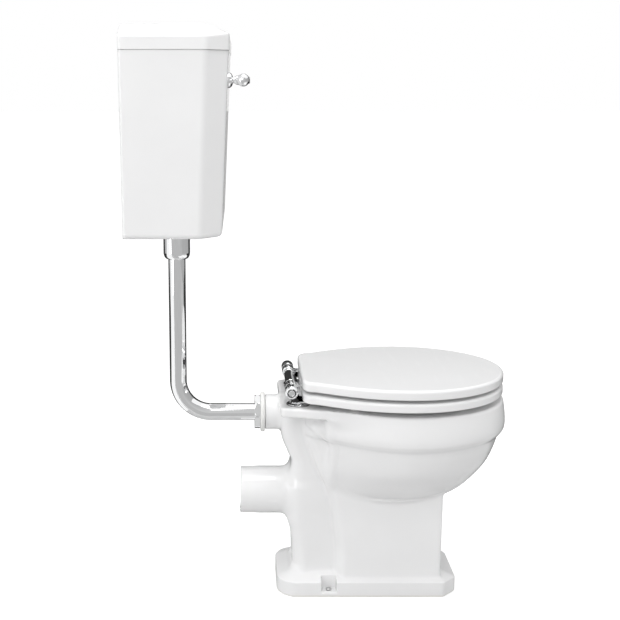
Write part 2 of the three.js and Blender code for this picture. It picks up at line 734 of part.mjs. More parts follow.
/** A post: a disc on the deck, a leaning neck, and the barrel that holds the rod. */
function hingePost(side) {
  const bottom = PAN_TOP + SEAT_GAP;
  const discTop = bottom + POST_DISC_THICK;
  const disc = turned([
    [0, bottom], [POST_DISC_R, bottom], [POST_DISC_R, bottom + 1.5], [POST_DISC_R - 3, discTop],
    [0, discTop],
  ], [POST_DISC_X, side * POST_Y, 0]);
  const neck = plateAcross(side, POST_IN + 5, POST_OUT - 5, [
    [HINGE_X - 5, HINGE_Z - 6], [POST_DISC_X - 9, discTop - 1], [POST_DISC_X + 5, discTop - 1],
    [HINGE_X + 10, HINGE_Z - 4],
  ]);
  return joined(disc, neck, barrel(side, POST_IN, POST_OUT, BARREL_R + 1)).subtract(rodBore());
}

/** A knuckle on the rod with a flat arm that is screwed to the underside of a board. */
function hingeKnuckle(side, from, to, boardUnder) {
  const top = boardUnder - SEAT_GAP;
  const arm = plateAcross(side, from, to, [
    [HINGE_X + 4, HINGE_Z - 9], [HINGE_X + 9, HINGE_Z - 9], [SEAT_BACK - 4, top - ARM_THICK],
    [ARM_REACH, top - ARM_THICK], [ARM_REACH, top], [SEAT_BACK - 6, top], [HINGE_X + 4, HINGE_Z + 9],
  ]);
  return arm.add(barrel(side, from, to)).subtract(rodBore());
}

/** A domed cap with a blind socket for the rod's end. */
function endCap(side) {
  const profile = [
    [0, 0], [BARREL_R, 0], [BARREL_R, CAP_WIDTH - 1.5], [BARREL_R - 1.5, CAP_WIDTH], [7, CAP_WIDTH],
    [6, CAP_WIDTH + 1.5], [3.5, CAP_WIDTH + 3], [0, CAP_WIDTH + 3.4],
  ];
  const placed = profile.map(([radius, along]) => [radius, side * (CAP_IN + along)]);
  const socket = bar(HINGE_ROD_R + SEAT_GAP, ...span(side, CAP_IN - 1, ROD_END + SEAT_GAP), HINGE_AXIS, 'y');
  return turned(placed, HINGE_AXIS, 'y').subtract(socket);
}

piecePair('hinge_post', hingePost, CHROME);
const ringKnuckle = (side) => hingeKnuckle(side, POST_OUT + SEAT_GAP, KNUCKLE_OUT, RING_BOTTOM);
const lidKnuckle = (side) => hingeKnuckle(side, KNUCKLE_IN, POST_IN - SEAT_GAP, LID_BOTTOM);
piecePair('ring_hinge', ringKnuckle, CHROME);
piecePair('lid_hinge', lidKnuckle, CHROME);
piece('hinge_rod', geometryOf(bar(HINGE_ROD_R, -ROD_END, ROD_END, HINGE_AXIS, 'y')), STEEL);
const sleeveEnd = KNUCKLE_IN - SEAT_GAP;
const hingeSleeve = sleeve(SLEEVE_R, HINGE_ROD_R + SEAT_GAP, -sleeveEnd, sleeveEnd, HINGE_AXIS, 'y');
piece('hinge_sleeve', geometryOf(hingeSleeve), CHROME);
piecePair('hinge_end_cap', endCap, CHROME);

/** A stud with its head under the post's disc, in a rubber plug that grips the deck's hole. */
function hingeStud(side) {
  const origin = [POST_DISC_X, side * POST_Y, 0];
  return bar(STUD_R, PAN_TOP - DECK_THICK - 7, PAN_TOP, origin);
}
function hingePlug(side) {
  const origin = [POST_DISC_X, side * POST_Y, 0];
  const under = PAN_TOP - DECK_THICK - SEAT_GAP;
  return turnedRing([
    [STUD_R + SEAT_GAP, under - 7], [PLUG_R, under - 7], [PLUG_R + 2.5, under - 4], [PLUG_R + 2.5, under],
    [PLUG_R, under], [PLUG_R, PAN_TOP - SEAT_GAP], [STUD_R + SEAT_GAP, PAN_TOP - SEAT_GAP],
  ], origin);
}
piecePair('hinge_stud', hingeStud, STEEL);
piecePair('hinge_plug', hingePlug, RUBBER);

// ---------------------------------------------------------------- cistern
/** How deep and how wide the cistern's body is at a height: it tapers towards the bottom. */
function cisternSize(z) {
  const share = (z - CISTERN_BOTTOM) / (CISTERN_TOP - CISTERN_BOTTOM);
  return {
    depth: THREE.MathUtils.lerp(CISTERN_DEPTH_BOTTOM, CISTERN_DEPTH_TOP, share),
    half: THREE.MathUtils.lerp(CISTERN_HALF_BOTTOM, CISTERN_HALF_TOP, share),
  };
}

/** The cistern's plan outline: a square back and two chamfered front corners. */
function cisternLoop(back, depth, half, chamfer = CISTERN_CHAMFER, soft = CORNER_SOFT) {
  return mirroredLoop([
    [back, -half, CORNER_BACK], [depth - chamfer, -half, soft], [depth, chamfer - half, soft],
  ], 3);
}

function cisternBody() {
  const rows = [
    [CISTERN_BOTTOM, CISTERN_EDGE], [CISTERN_BOTTOM + 2.5, CISTERN_EDGE * 0.35],
    [CISTERN_BOTTOM + CISTERN_EDGE, 0], [CISTERN_TOP - SEAT_GAP, 0],
  ];
  const outside = rows.map(([z, inset]) => {
    const { depth, half } = cisternSize(z);
    return lift(cisternLoop(0, depth - inset, half - inset), z);
  });
  const inside = [CISTERN_BOTTOM + CISTERN_FLOOR, CISTERN_TOP + CUT_PAST].map((z) => {
    const { depth, half } = cisternSize(z);
    const chamfer = CISTERN_CHAMFER - CISTERN_WALL * 0.6;
    return lift(cisternLoop(CISTERN_WALL, depth - CISTERN_WALL, half - CISTERN_WALL, chamfer), z);
  });
  return solidify(skin(outside)).subtract(solidify(skin(inside))).subtract(cisternHoles());
}

/** Holes in the cistern: two in its floor, two through its back, and one for the lever's bush. */
function cisternHoles() {
  const [under, over] = [CISTERN_BOTTOM - CUT_PAST, CISTERN_BOTTOM + CISTERN_FLOOR + CUT_PAST];
  const wallHole = (side) => bar(WALL_SCREW_R + RUN_GAP, -CUT_PAST, CISTERN_WALL + CUT_PAST,
    [0, side * WALL_SCREW_Y, WALL_SCREW_Z], 'x', 12);
  const front = CISTERN_DEPTH_TOP + CUT_PAST;
  return joined(
    bar(TAIL_R + SEAT_GAP, under, over, [PIPE_X, 0, 0], 'z', FINE_SIDES),
    bar(VALVE_TAIL_R + SEAT_GAP, under, over, [VALVE_X, VALVE_Y, 0]),
    mirroredPair(wallHole),
    bar(BUSH_R + SEAT_GAP, front - 30, front, [0, LEVER_Y, LEVER_Z], 'x'),
  );
}
piece('cistern_body', geometryOf(cisternBody()), CERAMIC);

/** One level of the lid: the slope runs in less at the front, and the corner cuts close up. */
function lidRow(z, run, inset = 0) {
  const { depth, half } = cisternSize(CISTERN_TOP);
  const share = run / LID_RUN;
  const front = depth + LID_OVERHANG - inset - share * LID_RUN_FRONT;
  const side = half + LID_OVERHANG - inset - run;
  const chamfer = THREE.MathUtils.lerp(CISTERN_CHAMFER - inset * 0.6, LID_TOP_CHAMFER, share);
  return lift(cisternLoop(inset, front, side, chamfer, THREE.MathUtils.lerp(CORNER_SOFT, 2, share)), z);
}

/** The lid's shoulder, which steps up over the corner cuts to a taller front. */
function lidShoulder(z, inset = 0) {
  const row = lidRow(z, 0, inset);
  const front = Math.max(...row.map((p) => p.x));
  row.forEach((p) => {
    const share = THREE.MathUtils.clamp((p.x - front + CISTERN_CHAMFER) / CISTERN_CHAMFER, 0, 1);
    p.setZ(z + LID_FRONT_STEP * share);
  });
  return row;
}

/** The ring under the lid that keeps it from sliding off the body. */
function lidLip() {
  const { depth, half } = cisternSize(CISTERN_TOP);
  const place = CISTERN_WALL + LID_LIP_PLAY;
  const loop = (inset) => cisternLoop(place + inset, depth - place - inset, half - place - inset,
    CISTERN_CHAMFER - place * 0.6);
  const [from, to] = [CISTERN_TOP - LID_LIP_DROP, CISTERN_TOP + LID_SIDE];
  return slab(loop(0), from, to).subtract(slab(loop(LID_LIP_THICK), from - CUT_PAST, to + CUT_PAST));
}

function cisternLid() {
  const shoulder = CISTERN_TOP + LID_SIDE;
  const top = shoulder + LID_RISE;
  const outside = [
    lidRow(CISTERN_TOP, 0.6), lidRow(CISTERN_TOP + 1, 0), lidShoulder(shoulder), lidRow(top, LID_RUN),
  ];
  const hollow = [
    lidRow(CISTERN_TOP - CUT_PAST, 0, LID_SKIN), lidShoulder(shoulder - 3, LID_SKIN),
    lidRow(top - LID_SKIN, LID_RUN, LID_SKIN),
  ];
  return solidify(skin(outside)).subtract(solidify(skin(hollow))).add(lidLip());
}
piece('cistern_lid', geometryOf(cisternLid()), CERAMIC);

function wallScrew(side) {
  const under = CISTERN_WALL + SEAT_GAP;
  return turned([
    [0, 1], [WALL_SCREW_R, 1], [WALL_SCREW_R, under], [WALL_SCREW_HEAD_R, under],
    [WALL_SCREW_HEAD_R, under + 2], [WALL_SCREW_HEAD_R * 0.6, under + 4], [0, under + 4.5],
  ], [0, side * WALL_SCREW_Y, WALL_SCREW_Z], 'x');
}
piecePair('wall_screw', wallScrew, STEEL);

// ---------------------------------------------------------------- flush pipe
const PIPE_TOP = TAIL_BOTTOM - 1;
const PIPE_END = INLET_FACE + PIPE_IN_SOCKET;

/** Middle line of the flush pipe: down, round the bend, and level into the pan's inlet. */
function pipeLine(bendSteps = 7) {
  const bend = arcPoints(PIPE_X + PIPE_BEND, INLET_Z + PIPE_BEND, PIPE_BEND, 180, 270, bendSteps);
  return [new THREE.Vector2(PIPE_X, PIPE_TOP), ...bend, new THREE.Vector2(PIPE_END, INLET_Z)];
}

function flushPipe() {
  const outer = loopsAlong(pipeLine(), PIPE_R, FINE_SIDES);
  const inner = loopsAlong(pipeLine(), PIPE_R - PIPE_WALL, FINE_SIDES).reverse();
  return skin([...outer, ...inner], true);
}
piece('flush_pipe', flushPipe(), CHROME);

const onPipe = [PIPE_X, 0, 0];

/** The coupling nut under the cistern: a plain cup with a rounded bottom, on the siphon's tail. */
function cisternUnion() {
  const steps = 4;
  const bottomEdge = PIPE_R + SEAT_GAP + 2.5;
  const round = Array.from({ length: steps + 1 }, (_, k) => {
    const turn = (Math.PI / 2) * (k / steps);
    const radius = bottomEdge + (UNION_R - bottomEdge) * Math.sin(turn);
    return [radius, UNION_BOTTOM + UNION_ROUND * (1 - Math.cos(turn))];
  });
  return turnedRing([
    ...round, [UNION_R, UNION_TOP], [TAIL_R + SEAT_GAP, UNION_TOP], [TAIL_R + SEAT_GAP, UNION_BOTTOM + 8],
    [PIPE_R + SEAT_GAP, UNION_BOTTOM + 6], [PIPE_R + SEAT_GAP, UNION_BOTTOM],
  ], onPipe, 'z', FINE_SIDES);
}
piece('cistern_union', geometryOf(cisternUnion()), CHROME);
piece('union_cone', geometryOf(sleeve(TAIL_R - 0.4, PIPE_R + SEAT_GAP, UNION_BOTTOM + 8 + SEAT_GAP,
  TAIL_BOTTOM - SEAT_GAP, onPipe, 'z', FINE_SIDES)), RUBBER);

const COLLAR_FRONT = INLET_FACE - SEAT_GAP;
const COLLAR_BACK = COLLAR_FRONT - COLLAR_THICK;
const PAN_NUT_FRONT = COLLAR_BACK - SEAT_GAP;
const PAN_NUT_BACK = PAN_NUT_FRONT - PAN_NUT_LONG;

/** An eight-sided nut with eased ends, on the level run of the pipe. */
function panNut() {
  const flats = turned([
    [0, PAN_NUT_BACK], [PAN_NUT_R - 1.5, PAN_NUT_BACK], [PAN_NUT_R, PAN_NUT_BACK + 1.5],
    [PAN_NUT_R, PAN_NUT_FRONT - 1.5], [PAN_NUT_R - 1.5, PAN_NUT_FRONT], [0, PAN_NUT_FRONT],
  ], alongX, 'x', 8);
  const [from, to] = [PAN_NUT_BACK - CUT_PAST, PAN_NUT_FRONT + CUT_PAST];
  return flats.subtract(bar(PIPE_R + SEAT_GAP, from, to, alongX, 'x', FINE_SIDES));
}
piece('pan_inlet_nut', geometryOf(panNut()), CHROME);

/** The soft collar against the spigot's end, with a sleeve that seals the pipe in its socket. */
function panCollar() {
  const coneEnd = COLLAR_FRONT + CONE_LONG;
  return turnedRing([
    [PIPE_R + SEAT_GAP, COLLAR_BACK], [COLLAR_R - 2, COLLAR_BACK], [COLLAR_R, COLLAR_BACK + 2],
    [COLLAR_R, COLLAR_FRONT - 2], [COLLAR_R - 2, COLLAR_FRONT], [INLET_SOCKET_R - SEAT_GAP, COLLAR_FRONT],
    [INLET_SOCKET_R - SEAT_GAP - 2, coneEnd], [PIPE_R + SEAT_GAP, coneEnd],
  ], alongX, 'x', FINE_SIDES);
}
piece('pan_inlet_collar', geometryOf(panCollar()), SOFT_WHITE);

// ---------------------------------------------------------------- siphon
const FLOOR_IN = CISTERN_BOTTOM + CISTERN_FLOOR; // the cistern's floor, inside
const BELL_BOTTOM = FLOOR_IN + BELL_LIFT;
const BELL_TOP = BELL_BOTTOM + BELL_HEIGHT;

/** Middle line of the siphon tube: up from the tail, over the return bend, down into the bell. */
function siphonLine() {
  const away = new THREE.Vector2(BELL_X - PIPE_X, BELL_Y);
  const reach = away.length() - SIPHON_TUBE_R - ROD_R - 1.5;
  const way = away.normalize();
  const place = (along, z) => new THREE.Vector3(PIPE_X + way.x * along, way.y * along, z);
  const bend = Array.from({ length: 7 }, (_, k) => {
    const turn = Math.PI * (1 - k / 6);
    return place(reach / 2 + (reach / 2) * Math.cos(turn), SIPHON_TOP + (reach / 2) * Math.sin(turn));
  });
  return { way, points: [place(0, FLOOR_IN), ...bend, place(reach, BELL_TOP - 1)] };
}

/** Round loops along the siphon's line, which lies in an upright plane. */
function siphonLoops(radius, extra) {
  const { way, points } = siphonLine();
  const line = points.map((p) => p.clone());
  line[0].z -= extra;
  line.at(-1).z -= extra;
  const level = new THREE.Vector3(-way.y, way.x, 0);
  return line.map((p, i) => {
    const before = line[Math.max(i - 1, 0)];
    const after = line[Math.min(i + 1, line.length - 1)];
    const across = after.clone().sub(before).normalize().cross(level);
    return Array.from({ length: SIDES }, (_, k) => {
      const turn = (2 * Math.PI * k) / SIDES;
      const out = level.clone().multiplyScalar(Math.cos(turn)).addScaledVector(across, Math.sin(turn));
      return p.clone().addScaledVector(out, radius);
    });
  });
}

const FLANGE_BOTTOM = FLOOR_IN + WASHER_THICK + SEAT_GAP;

/** The siphon: a flanged tail, a tube over the return bend, and the bell that the piston lifts in. */
function siphon() {
  const atBell = [BELL_X, BELL_Y, 0];
  const outside = joined(
    solidify(skin(siphonLoops(SIPHON_TUBE_R, 0))),
    bar(SIPHON_FLANGE_R, FLANGE_BOTTOM, FLANGE_BOTTOM + SIPHON_FLANGE_THICK, onPipe, 'z', FINE_SIDES),
    bar(TAIL_R, TAIL_BOTTOM, FLANGE_BOTTOM + 1, onPipe, 'z', FINE_SIDES),
    bar(BELL_R, BELL_BOTTOM, BELL_TOP, atBell),
  );
  return outside
    .subtract(bar(BELL_R - BELL_WALL, BELL_BOTTOM - CUT_PAST, BELL_TOP - BELL_WALL, atBell))
    .subtract(solidify(skin(siphonLoops(SIPHON_BORE_R, BELL_WALL + 2))))
    .subtract(bar(SIPHON_BORE_R, TAIL_BOTTOM - CUT_PAST, FLOOR_IN, onPipe))
    .subtract(bar(ROD_R + RUN_GAP, BELL_TOP - 10, BELL_TOP + 6, atBell));
}
piece('siphon', geometryOf(siphon()), PLASTIC);

/** A flat washer on the cistern's floor, inside. */
const floorWasher = (outer, inner, origin, sides) =>
  sleeve(outer, inner, FLOOR_IN + SEAT_GAP, FLOOR_IN + WASHER_THICK, origin, 'z', sides);

/** A six-sided nut under the cistern's floor. */
function floorNut(radius, bore, high, origin, sides) {
  const top = CISTERN_BOTTOM - SEAT_GAP;
  const hole = bar(bore, top - high - CUT_PAST, top + CUT_PAST, origin, 'z', sides);
  return bar(radius, top - high, top, origin, 'z', 6).subtract(hole);
}
const siphonWasher = floorWasher(SIPHON_FLANGE_R, TAIL_R + SEAT_GAP, onPipe, FINE_SIDES);
const siphonNut = floorNut(BACK_NUT_R, TAIL_R + SEAT_GAP, BACK_NUT_HIGH, onPipe, FINE_SIDES);
piece('siphon_washer', geometryOf(siphonWasher), RUBBER);
piece('siphon_back_nut', geometryOf(siphonNut), PLASTIC);

// ---------------------------------------------------------------- flush lever
/** Outer face of the cistern's front wall at the lever. */
const LEVER_FACE = cisternSize(LEVER_Z).depth;
const FACE_LEAN = Math.atan2(CISTERN_DEPTH_TOP - CISTERN_DEPTH_BOTTOM, CISTERN_TOP - CISTERN_BOTTOM);
const leverAxis = [0, LEVER_Y, LEVER_Z];

/** A block that fills everything behind a plane parallel to the cistern's leaning front wall. */
function behindFront(x) {
  const size = 120;
  const geometry = new THREE.BoxGeometry(size, size, size);
  geometry.translate(-size / 2, 0, 0);
  geometry.rotateY(FACE_LEAN);
  geometry.translate(x, LEVER_Y, LEVER_Z);
  return solidify(geometry);
}

function leverBush() {
  const outer = LEVER_FACE + BOSS_LONG;
  const dome = turned([
    [0, LEVER_FACE - 4], [BOSS_R, LEVER_FACE - 4], [BOSS_R, LEVER_FACE + 3], [BOSS_R - 1.2, LEVER_FACE + 5.5],
    [BOSS_R - 4, LEVER_FACE + 7.8], [BOSS_R - 7.5, outer], [0, outer],
  ], leverAxis, 'x').subtract(behindFront(LEVER_FACE + SEAT_GAP));
  const thread = bar(BUSH_R, LEVER_FACE - CISTERN_WALL - 14, LEVER_FACE + 3, leverAxis, 'x');
  const bore = bar(SPINDLE_R + RUN_GAP, LEVER_FACE - 40, outer + CUT_PAST, leverAxis, 'x');
  return dome.add(thread).subtract(bore);
}
piece('lever_bush', geometryOf(leverBush()), CHROME);

function leverBackNut() {
  const front = LEVER_FACE - CISTERN_WALL;
  const nut = bar(15, front - 8, front + 3, leverAxis, 'x', 6);
  const bore = bar(BUSH_R + SEAT_GAP, front - 20, front + 20, leverAxis, 'x');
  const inner = behindFront(front - SEAT_GAP);
  return nut.intersect(inner).subtract(bore);
}
piece('lever_back_nut', geometryOf(leverBackNut()), BRASS);

const HANDLE_X = LEVER_FACE + BOSS_LONG + HANDLE_OUT;

/** Hub with a button end on the spindle, and a handle that ends in a ball. */
function flushLever() {
  const start = LEVER_FACE + BOSS_LONG + SEAT_GAP;
  const hub = turned([
    [0, start], [5.5, start], [5.5, start + 3], [7.5, start + 5], [9, HANDLE_X - 6], [9.6, HANDLE_X],
    [8.6, HANDLE_X + 5], [6, HANDLE_X + 8], [6, HANDLE_X + 11], [4, HANDLE_X + 12.5], [0, HANDLE_X + 13],
  ], leverAxis, 'x');
  const arm = turned([
    [0, 0], [5.2, 0], [4.2, 20], [4.6, HANDLE_LONG - 14], [6.4, HANDLE_LONG - 12], [4.8, HANDLE_LONG - 10],
    [0, HANDLE_LONG - 9],
  ], [0, 0, 0], 'y').mirror([0, 1, 0]).translate([HANDLE_X, LEVER_Y, LEVER_Z]);
  const ball = new THREE.SphereGeometry(HANDLE_BALL_R, 12, 8);
  ball.translate(HANDLE_X, LEVER_Y - HANDLE_LONG, LEVER_Z);
  const spindle = bar(SPINDLE_R, BELL_X - 8, start + 2, leverAxis, 'x');
  return joined(hub, arm, solidify(ball), spindle);
}
piece('flush_lever', geometryOf(flushLever()), CHROME);

/** The crank on the spindle's inner end: one plate beside the lift rod's yoke, and a pin through it. */
function crank() {
  const yokeFace = BELL_X + YOKE_THICK / 2;
  const [back, front] = [yokeFace + 2, yokeFace + 2 + CRANK_THICK];
  const end = CRANK_LONG + 2 * CRANK_PIN_R;
  const outline = roundedLoop([[-9, -9, 8], [end, -6, 5.5], [end, 6, 5.5], [-9, 9, 8]], 4);
  const sides = [back, front].map((x) => outline.map((p) =>
    new THREE.Vector3(x, LEVER_Y + p.x, LEVER_Z + p.y)));
  const pin = bar(CRANK_PIN_R, BELL_X - YOKE_THICK, back + 1, [0, LEVER_Y + CRANK_LONG, LEVER_Z], 'x', 12);
  const hole = bar(SPINDLE_R + SEAT_GAP, back - CUT_PAST, front + CUT_PAST, leverAxis, 'x');
  return solidify(skin(sides)).add(pin).subtract(hole);
}
piece('lever_crank', geometryOf(crank()), BRASS);

/** The siphon's lift rod: a piston in the bell, a rod through its top, and a yoke on the crank's pin. */
function liftRod() {
  const place = [BELL_X, BELL_Y, 0];
  const pistonBottom = BELL_BOTTOM + 6;
  const piston = bar(BELL_R - BELL_WALL - 1, pistonBottom, pistonBottom + PISTON_THICK, place);
  const slotMiddle = LEVER_Y + CRANK_LONG * (1 + Math.cos(THREE.MathUtils.degToRad(LEVER_THROW))) / 2;
  const [long, high] = [YOKE_SLOT_LONG / 2 + YOKE_RIM, YOKE_SLOT_HIGH / 2 + YOKE_RIM];
  const across = (halfLong, halfHigh, thick) => block(
    [BELL_X - thick / 2, slotMiddle - halfLong, LEVER_Z - halfHigh],
    [BELL_X + thick / 2, slotMiddle + halfLong, LEVER_Z + halfHigh],
  );
  const yoke = across(long, high, YOKE_THICK).subtract(across(YOKE_SLOT_LONG / 2, YOKE_SLOT_HIGH / 2, 20));
  const rod = bar(ROD_R, pistonBottom + 1, LEVER_Z - high + 1, place);
  return joined(piston, rod, yoke);
}
piece('siphon_lift_rod', geometryOf(liftRod()), PLASTIC);

// ---------------------------------------------------------------- fill valve
const atValve = [VALVE_X, VALVE_Y, 0];
const floatAxis = [0, FLOAT_PIVOT_Y, FLOAT_PIVOT_Z];
const floatPivot = new THREE.Vector3(VALVE_X, FLOAT_PIVOT_Y, FLOAT_PIVOT_Z);

function fillValve() {
  const foot = FLOOR_IN + WASHER_THICK + SEAT_GAP;
  const body = turned([
    [0, VALVE_TAIL_BOTTOM], [VALVE_TAIL_R, VALVE_TAIL_BOTTOM], [VALVE_TAIL_R, foot], [VALVE_R + 5, foot],
    [VALVE_R + 5, foot + 6], [VALVE_R, foot + 9], [VALVE_R, VALVE_TOP - 20], [VALVE_R + 4, VALVE_TOP - 16],
    [VALVE_R + 4, VALVE_TOP], [0, VALVE_TOP],
  ], atValve);
  const cheek = (from, to) => block(
    [VALVE_X + from, FLOAT_PIVOT_Y - 7, VALVE_TOP - 6], [VALVE_X + to, VALVE_Y + 8, FLOAT_PIVOT_Z + 8],
  );
  const cheeks = cheek(-9, -5).add(cheek(5, 9));
  const pinBore = bar(FLOAT_PIN_R + SEAT_GAP, VALVE_X - 20, VALVE_X + 20, floatAxis, 'x', 12);
  const waterway = bar(VALVE_TAIL_R - 3, VALVE_TAIL_BOTTOM - CUT_PAST, FLOOR_IN + 20, atValve);
  return joined(body, cheeks).subtract(pinBore).subtract(waterway);
}
piece('fill_valve', geometryOf(fillValve()), PLASTIC);
const valveWasher = floorWasher(VALVE_R + 5, VALVE_TAIL_R + SEAT_GAP, atValve);
const valveNut = floorNut(VALVE_NUT_R, VALVE_TAIL_R + SEAT_GAP, VALVE_NUT_HIGH, atValve);
const floatPin = bar(FLOAT_PIN_R, VALVE_X - FLOAT_PIN_HALF, VALVE_X + FLOAT_PIN_HALF, floatAxis, 'x', 12);
piece('fill_valve_washer', geometryOf(valveWasher), RUBBER);
piece('fill_valve_back_nut', geometryOf(valveNut), PLASTIC);
piece('float_pin', geometryOf(floatPin), BRASS);

const floatTurn = THREE.MathUtils.degToRad(FLOAT_REST);
const floatWay = new THREE.Vector3(0, -Math.cos(floatTurn), -Math.sin(floatTurn));

/** A float piece modelled along -Y from the pivot, turned down to its resting angle. */
function fromPivot(geometry) {
  geometry.rotateX(floatTurn);
  geometry.translate(...floatPivot.toArray());
  return geometry;
}

function floatArm() {
  const eye = new THREE.CylinderGeometry(6, 6, 9, SIDES);
  eye.rotateZ(Math.PI / 2);
  const end = FLOAT_ARM_LONG - FLOAT_BALL_R - SEAT_GAP;
  const rod = new THREE.CylinderGeometry(FLOAT_ARM_R, FLOAT_ARM_R, end - 3, 12);
  rod.translate(0, -(end + 3) / 2, 0);
  const bore = bar(FLOAT_PIN_R + RUN_GAP, VALVE_X - 20, VALVE_X + 20, floatAxis, 'x', 12);
  return solidify(fromPivot(eye)).add(solidify(fromPivot(rod))).subtract(bore);
}
piece('float_arm', geometryOf(floatArm()), BRASS);

const floatBall = new THREE.SphereGeometry(FLOAT_BALL_R, 16, 9);
floatBall.translate(...floatPivot.clone().addScaledVector(floatWay, FLOAT_ARM_LONG).toArray());
piece('float_ball', geometryOf(solidify(floatBall)), PLASTIC);

// ---------------------------------------------------------------- place
const root = new THREE.Group();
root.name = 'toilet';
model.position.x = -RIM_FRONT / 2;
root.add(model);

export default root;
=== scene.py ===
"""A low-level toilet: glazed pan and cistern, white seat, chrome flush pipe, hinge and lever.

Inside the classes, lengths are millimetres: x from the wall's face, y from the middle plane and z
from the floor, as a fitter measures them. Only the functions that make meshes turn them into the
frame's metres, whose origin lies on the floor under the middle of the object.
"""

import logging
import math
from dataclasses import dataclass
from enum import Enum
from typing import Callable, Sequence

import bmesh
import bpy
import numpy as np
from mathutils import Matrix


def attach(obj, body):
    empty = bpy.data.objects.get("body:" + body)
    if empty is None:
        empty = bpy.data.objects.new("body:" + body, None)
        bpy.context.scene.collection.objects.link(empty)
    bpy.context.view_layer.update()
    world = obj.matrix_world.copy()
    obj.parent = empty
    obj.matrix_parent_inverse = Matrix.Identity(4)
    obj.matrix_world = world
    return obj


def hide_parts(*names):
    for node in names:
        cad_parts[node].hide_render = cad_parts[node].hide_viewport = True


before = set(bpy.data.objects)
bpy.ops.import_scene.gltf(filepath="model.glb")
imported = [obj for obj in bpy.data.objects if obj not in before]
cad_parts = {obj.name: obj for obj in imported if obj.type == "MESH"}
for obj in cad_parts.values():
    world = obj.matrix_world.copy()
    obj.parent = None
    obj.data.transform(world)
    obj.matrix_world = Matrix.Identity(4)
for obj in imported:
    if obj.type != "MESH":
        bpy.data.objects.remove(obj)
log = logging.getLogger("toilet")

WALL_TO_ORIGIN = 390.0
MM = 0.001
COAT_ROUGHNESS = 0.04
MERGE_METRES = 2e-6
TINY = 1e-12

Array = np.ndarray
Pair = tuple[float, float]
Triple = tuple[float, float, float]
Field = Callable[[Array, Array, Array], Array]


class Body(str, Enum):
    """The rigid bodies that pieces ride on."""

    FIXED = "fixed"
    RING = "ring"
    LID = "lid"
    LEVER = "lever"
    LIFT_ROD = "lift_rod"
    FLOAT = "float"
    CISTERN_LID = "cistern_lid"


class Axis(Enum):
    """The direction a turned piece is turned about."""

    X = 0
    Y = 1
    Z = 2


class Side(Enum):
    """The near and the far side of the middle plane."""

    NEAR = -1
    FAR = 1

    @property
    def label(self) -> str:
        """The side's name as the nodes spell it."""
        return self.name.lower()


# ------------------------------------------------------------------ shader nodes
class Value:
    """A number socket with operators: each operator adds one Math node to the tree."""

    def __init__(self, kit: "Kit", socket: bpy.types.NodeSocket) -> None:
        self.kit = kit
        self.socket = socket

    def math(self, operation: str, *others: "Value | float") -> "Value":
        """Applies a Math node's operation to this value and further operands, in order."""
        return self.kit.math(operation, self, *others)

    def __add__(self, other: "Value | float") -> "Value":
        """Sum."""
        return self.math("ADD", other)

    __radd__ = __add__

    def __rsub__(self, other: float) -> "Value":
        """Reflected difference, as in 1 - mask."""
        return self.kit.math("SUBTRACT", other, self)

    def __mul__(self, other: "Value | float") -> "Value":
        """Product."""
        return self.math("MULTIPLY", other)

    __rmul__ = __mul__

    def between(self, low: float, high: float) -> "Value":
        """Rises smoothly from 0 where the value is low to 1 where it is high.

        Args:
            low: where the result is 0.
            high: where it is 1.

        Returns:
            The new value.
        """
        limits = {"Value": self, "From Min": low, "From Max": high}
        node = self.kit.node("ShaderNodeMapRange", {"interpolation_type": "SMOOTHSTEP"}, limits)
        return Value(self.kit, node.outputs[0])


